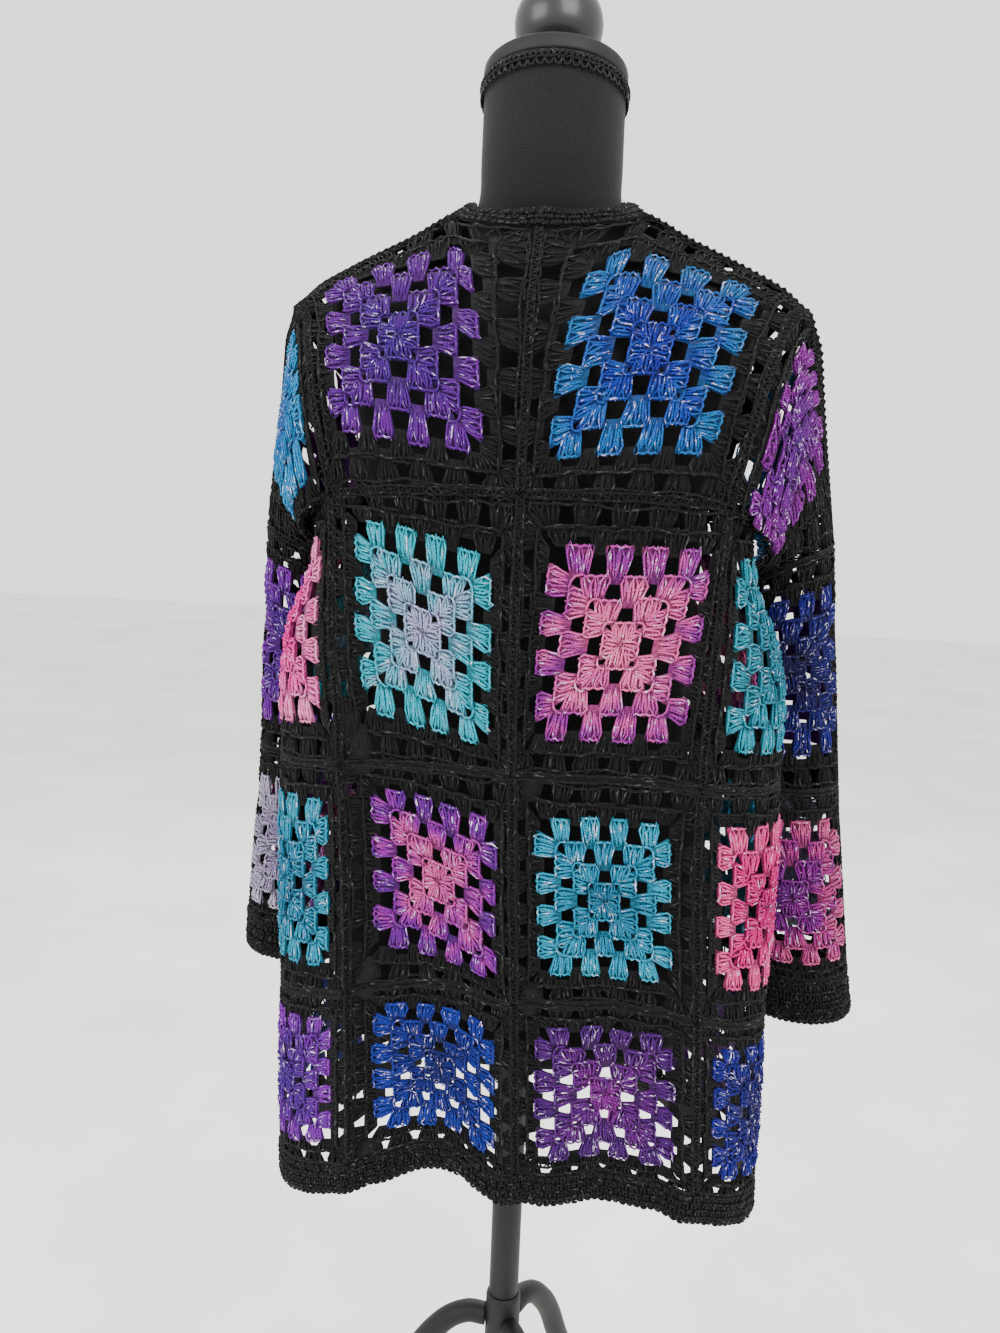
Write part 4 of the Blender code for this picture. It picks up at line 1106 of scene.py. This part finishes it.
def makeTorso():
    sides = formLook["sides"]
    turns = 2 * math.pi * np.arange(sides) / sides
    bm = bmesh.new()
    uv = bm.loops.layers.uv.new("UVMap")
    bmesh.ops.create_circle(bm, cap_ends=False, segments=sides, radius=1)
    bm.verts.ensure_lookup_table()
    ring, edges = list(bm.verts), list(bm.edges)
    for vert, place in zip(ring, formRing(0, turns)):
        vert.co = place
    bmesh.ops.contextual_create(bm, geom=edges)
    for level in np.linspace(0, 20, formLook["rings"])[1:]:
        made = bmesh.ops.extrude_edge_only(bm, edges=edges)
        fresh = [g for g in made["geom"] if isinstance(g, bmesh.types.BMVert)]
        edges = [g for g in made["geom"] if isinstance(g, bmesh.types.BMEdge)]
        place = formRing(level, turns)
        old = {tuple(np.round(v.co, 6)): i for i, v in enumerate(ring)}
        ordered = [None] * sides
        for vert in fresh:
            ordered[old[tuple(np.round(vert.co, 6))]] = vert
        for vert, at in zip(ordered, place):
            vert.co = at
        ring = ordered
    bmesh.ops.contextual_create(bm, geom=edges)
    bmesh.ops.recalc_face_normals(bm, faces=bm.faces)
    for face in bm.faces:
        middle = face.calc_center_median()
        for loop in face.loops:
            turn = math.atan2(loop.vert.co.y, loop.vert.co.x - centre[0])
            if turn < -1.5 and math.atan2(middle.y, middle.x - centre[0]) > 1.5:
                turn += 2 * math.pi
            if turn > 1.5 and math.atan2(middle.y, middle.x - centre[0]) < -1.5:
                turn -= 2 * math.pi
            loop[uv].uv = (turn * 0.06, loop.vert.co.z)
    data = meshOf("torso_cover", bm, jersey())
    piece = keepPiece("torso_cover", data)
    for face in data.polygons:
        face.use_smooth = len(face.vertices) == 4
    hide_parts("torso")


makeTorso()


def spun(name, profile, made, place, tilt=0.0, steps=72):
    # a profile of (radius, height) spun round the piece's own axis
    bm = bmesh.new()
    verts = [bm.verts.new((r, 0, z)) for r, z in profile]
    edges = [bm.edges.new(pair) for pair in zip(verts, verts[1:])]
    bmesh.ops.spin(bm, geom=verts + edges, cent=(0, 0, 0), axis=(0, 0, 1), angle=2 * math.pi, steps=steps,
                   use_merge=True)
    bmesh.ops.remove_doubles(bm, verts=bm.verts, dist=0.00001)
    bmesh.ops.recalc_face_normals(bm, faces=bm.faces)
    moved = Matrix.Translation(Vector(place) + Vector(centre)) @ Matrix.Rotation(tilt, 4, "X")
    bmesh.ops.transform(bm, matrix=moved, verts=bm.verts)
    return keepPiece(name, meshOf(name, bm, made))


def rounded(profile, radius, steps=4):
    # the profile with its inner corners rounded off
    made = [profile[0]]
    for before, at, after in zip(profile, profile[1:], profile[2:]):
        before, at, after = (np.array(p, float) for p in (before, at, after))
        back, ahead = before - at, after - at
        reach = min(radius, np.linalg.norm(back) / 2.2, np.linalg.norm(ahead) / 2.2)
        start = at + back / np.linalg.norm(back) * reach
        end = at + ahead / np.linalg.norm(ahead) * reach
        for t in np.linspace(0, 1, steps):
            made.append(tuple((1 - t) ** 2 * start + 2 * t * (1 - t) * at + t * t * end))
    return made + [profile[-1]]


lip = (0, 0, 1.4193)
lipTilt = math.atan(0.14)
turning = {
    "capProfile": ((0, 0.0003), (0.0560, 0.0003), (0.0574, 0.0018), (0.0578, 0.006), (0.0574, 0.0108),
                   (0.0555, 0.0130), (0.0, 0.0135)),
    "knobProfile": ((0, 0.0138), (0.027, 0.0138), (0.029, 0.018), (0.024, 0.023), (0.026, 0.027),
                    (0.034, 0.037), (0.0365, 0.050), (0.034, 0.063), (0.025, 0.074), (0.012, 0.080),
                    (0, 0.081)),
}


def makeTurnedParts():
    # a knob with soft lights on it, and a rubbed, duller cap
    paint = plain("satinBlackPaintOnWood", "#040404", 0.38, (90, 0.00025), ("#080808", 14), coat=0.15)
    worn = plain("mattBlackPaintOnWood", "#060606", 0.62, (240, 0.0003), ("#0c0c0c", 60), gloss=0.35)
    cap = spun("neck_cap_turned", rounded(turning["capProfile"], 0.0012), worn, lip, lipTilt)
    knob = spun("finial_turned", rounded(turning["knobProfile"], 0.006, 6), paint, lip, lipTilt)
    for piece, node in ((cap, "neck_cap"), (knob, "finial")):
        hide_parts(node)


makeTurnedParts()


gimp = {
    "radius": 0.00125, "pitch": 0.0064, "top": -0.0030, "out": 0.0572, "deeper": 0.0014,
    "plies": 3, "stepsPerPitch": 6, "braidWave": 0.0021, "lapFrom": 152, "lapTurn": 0.22, "lapSteps": 14,
}


def makeGimp():
    # plaited braid above, a row of small loops below, round the top of the neck
    made = Strands()
    length = 2 * math.pi * gimp["out"]
    turnsPerPitch = gimp["pitch"] / gimp["out"]
    count = int(length / gimp["pitch"])
    tilt = Matrix.Translation(Vector(lip) + Vector(centre)) @ Matrix.Rotation(lipTilt, 4, "X")
    rotate, move = np.array(tilt.to_3x3()), np.array(tilt.translation)

    def place(turn, z, out):
        out = out + gimp["deeper"] * np.sin(turn) ** 2
        flat = np.stack([out * np.cos(turn), out * np.sin(turn), np.broadcast_to(z, np.shape(turn))], -1)
        return flat @ rotate.T + move
    k = np.arange(count * gimp["stepsPerPitch"] + 1)
    share = k / gimp["stepsPerPitch"]
    turn = share * turnsPerPitch
    for strand in range(gimp["plies"]):
        phase = 2 * math.pi * (share / 2 + strand / gimp["plies"])
        z = gimp["top"] - 0.0014 + gimp["braidWave"] * np.sin(phase)
        out = gimp["out"] + 0.0009 + 0.0008 * np.cos(2 * phase)
        made.add(place(turn, z, out)[None], spindle(len(k), gimp["radius"]), 0, 0.5)
    starts = np.arange(count)[:, None] * turnsPerPitch
    bend = np.array([-0.32, -0.42, -0.30, 0.0, 0.30, 0.42, 0.32]) * turnsPerPitch
    z = np.array([-0.0068, -0.0096, -0.0122, -0.0132, -0.0122, -0.0096, -0.0068])
    out = gimp["out"] + np.array([0.0004, 0.0011, 0.0012, 0.0010, 0.0012, 0.0011, 0.0004])
    turns = starts + bend
    made.add(place(turns, np.broadcast_to(z, turns.shape), np.broadcast_to(out, turns.shape)),
             spindle(7, gimp["radius"] * 0.9), 0, 0.7)
    rail = place(turn, -0.0070 + 0.0004 * np.sin(k * 1.3), gimp["out"] + 0.0006)
    made.add(rail[None], spindle(len(k), gimp["radius"]), 0, 0.4)
    # where the braid's end laps over its start
    steps = gimp["lapSteps"]
    lap = math.radians(gimp["lapFrom"]) + np.linspace(0, gimp["lapTurn"], steps)
    for strand in range(2):
        twist = 0.0012 * np.sin(np.arange(steps) * 1.9 + strand * 3)
        z = gimp["top"] - 0.0040 - 0.022 * (lap - lap[0]) + twist
        out = np.full(steps, gimp["out"] + 0.0022)
        made.add(place(lap, z, out)[None], spindle(steps, gimp["radius"]), 0, 0.6)
    rng = np.random.default_rng(3)
    # rayon cord: smoother than the wool, with a soft run of light along it
    cord = yarn("rayonGimpBlack", ((0.0, "#040404"), (1.0, "#101012")), "#7c7c84", 0.25, 0.08, 0.5)
    braid = made.build("gimp_braid", [cord], rng)
    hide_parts("neck_trim")


makeGimp()


stand = {"poleRadius": 0.014, "poleTop": 0.6397, "hubBottom": 0.272, "hubTop": 0.346, "legRadius": 0.010,
         "legTurn": math.radians(120), "padRadius": 0.016, "padHeight": 0.0123}
leg = readTable(
    "share out height width",
    (0.0, 0.0168, 0.318, 1.0),
    (0.1, 0.036, 0.318, 1.0),
    (0.2, 0.068, 0.292, 1.1),
    (0.4, 0.104, 0.222, 1.1),
    (0.7, 0.160, 0.100, 1.0),
    (0.9, 0.212, 0.035, 1.1),
    (1.0, 0.250, 0.0225, 1.2),
)


def makeStand():
    # soft, fine-grained black steel, and rubber that takes no light
    paint = plain("satinPowderCoatOnSteel", "#030303", 0.6, (1800, 0.00004), ("#080809", 9), gloss=0.3)
    rubber = plain("matteRubber", "#1c1c1c", 0.9, (900, 0.0001), ("#242424", 40))
    r, low, high = stand["poleRadius"], stand["hubTop"] + 0.0003, stand["poleTop"]
    pole = spun("pole_tube", rounded(((0, low), (r, low), (r, high), (0, high)), 0.0008), paint, (0, 0, 0))
    bottom, top = stand["hubBottom"], stand["hubTop"]
    hubProfile = ((0, bottom), (0.014, bottom), (0.0165, bottom + 0.008), (0.0165, top - 0.004),
                  (0.015, top), (0, top))
    hub = spun("hub_collar", rounded(hubProfile, 0.0015), paint, (0, 0, 0))
    for piece, node in ((pole, "pole"), (hub, "hub")):
        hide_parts(node)
    for k in range(3):
        turn = stand["legTurn"] + 2 * math.pi * k / 3
        line = bpy.data.curves.new(f"leg_line_{k + 1}", "CURVE")
        line.dimensions = "3D"
        line.bevel_depth = stand["legRadius"]
        line.bevel_resolution = 6
        line.resolution_u = 12
        line.use_fill_caps = True
        path = line.splines.new("BEZIER")
        path.bezier_points.add(len(leg["out"]) - 1)
        for i, point in enumerate(path.bezier_points):
            out = leg["out"][i]
            point.co = Vector((out * math.cos(turn), out * math.sin(turn), leg["height"][i])) + Vector(centre)
            point.handle_left_type = point.handle_right_type = "AUTO"
            point.radius = leg["width"][i]
        line.materials.append(paint)
        data = meshOfCurve(line, 0.00001)
        piece = keepPiece(f"leg_tube_{k + 1}", data)
        for face in data.polygons:
            face.use_smooth = len(face.vertices) < 5
        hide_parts(f"leg_{k + 1}")
        radius, height = stand["padRadius"], stand["padHeight"]
        out = leg["out"][-1] - radius
        disc = rounded(((0, 0), (radius, 0), (radius, height), (0, height)), 0.002)
        pad = spun(f"pad_{k + 1}", disc, rubber, (out * math.cos(turn), out * math.sin(turn), 0), steps=40)
        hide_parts(f"foot_pad_{k + 1}")
    print("dress form done")


makeStand()


studio = {
    "lens": 67.0, "camera": (0.0, 0.865, 1.09), "orbit": 5.0, "pitch": 9.0, "yaw": 1.75, "roll": 2.2,
    "floor": "#f4f3f1", "world": "#f8f8f6", "worldStrength": 1.95,
    # each softbox's place, size and power
    "lights": (((-1.2, 2.0, 2.4), 1.6, 70), ((1.6, 1.6, 1.9), 1.4, 40), ((0.3, -1.9, 2.3), 1.8, 60)),
}


def makeStudio():
    bm = bmesh.new()
    bmesh.ops.create_grid(bm, x_segments=1, y_segments=1, size=9)
    # a pale floor that takes soft shadows
    made = plain("paleFloor", studio["floor"], 0.5, None, ("#e6e4e0", 2.5))
    floor = bpy.data.objects.new("floor", meshOf("floor", bm, made))
    scene.collection.objects.link(floor)
    world = bpy.data.worlds.new("softRoom")
    world.use_nodes = True
    back = world.node_tree.nodes["Background"]
    back.inputs["Color"].default_value = linear(studio["world"])
    back.inputs["Strength"].default_value = studio["worldStrength"]
    scene.world = world
    for k, (place, size, power) in enumerate(studio["lights"]):
        lamp = bpy.data.lights.new(f"softbox_{k + 1}", "AREA")
        lamp.shape, lamp.size, lamp.energy = "SQUARE", size, power
        holder = bpy.data.objects.new(lamp.name, lamp)
        scene.collection.objects.link(holder)
        aim = Vector((0, 0, 0.95)) - Vector(place)
        holder.location = place
        holder.rotation_euler = aim.to_track_quat("-Z", "Y").to_euler()
    camera = bpy.data.cameras.new("photoView")
    camera.sensor_fit = "VERTICAL"
    camera.angle = math.radians(studio["lens"])
    camera.clip_start = 0.02
    holder = bpy.data.objects.new("photoView", camera)
    scene.collection.objects.link(holder)
    orbit, pitch, roll = (math.radians(studio[k]) for k in ("orbit", "pitch", "roll"))
    away = studio["camera"][1]
    place = Vector((-math.sin(orbit) * away, math.cos(orbit) * away, studio["camera"][2]))
    turned = Matrix.Rotation(math.radians(studio["yaw"]), 3, "Z")
    level = turned @ Vector((math.sin(orbit), -math.cos(orbit), 0))
    ahead = level * math.cos(pitch) - Vector((0, 0, 1)) * math.sin(pitch)
    right = ahead.cross(Vector((0, 0, 1))).normalized()
    up = right.cross(ahead)
    turnedRight = right * math.cos(roll) + up * math.sin(roll)
    turnedUp = up * math.cos(roll) - right * math.sin(roll)
    frameOf = Matrix((turnedRight, turnedUp, -ahead)).transposed().to_4x4()
    holder.matrix_world = Matrix.Translation(place + Vector(centre)) @ frameOf
    scene.camera = holder
    print("studio done")


makeStudio()
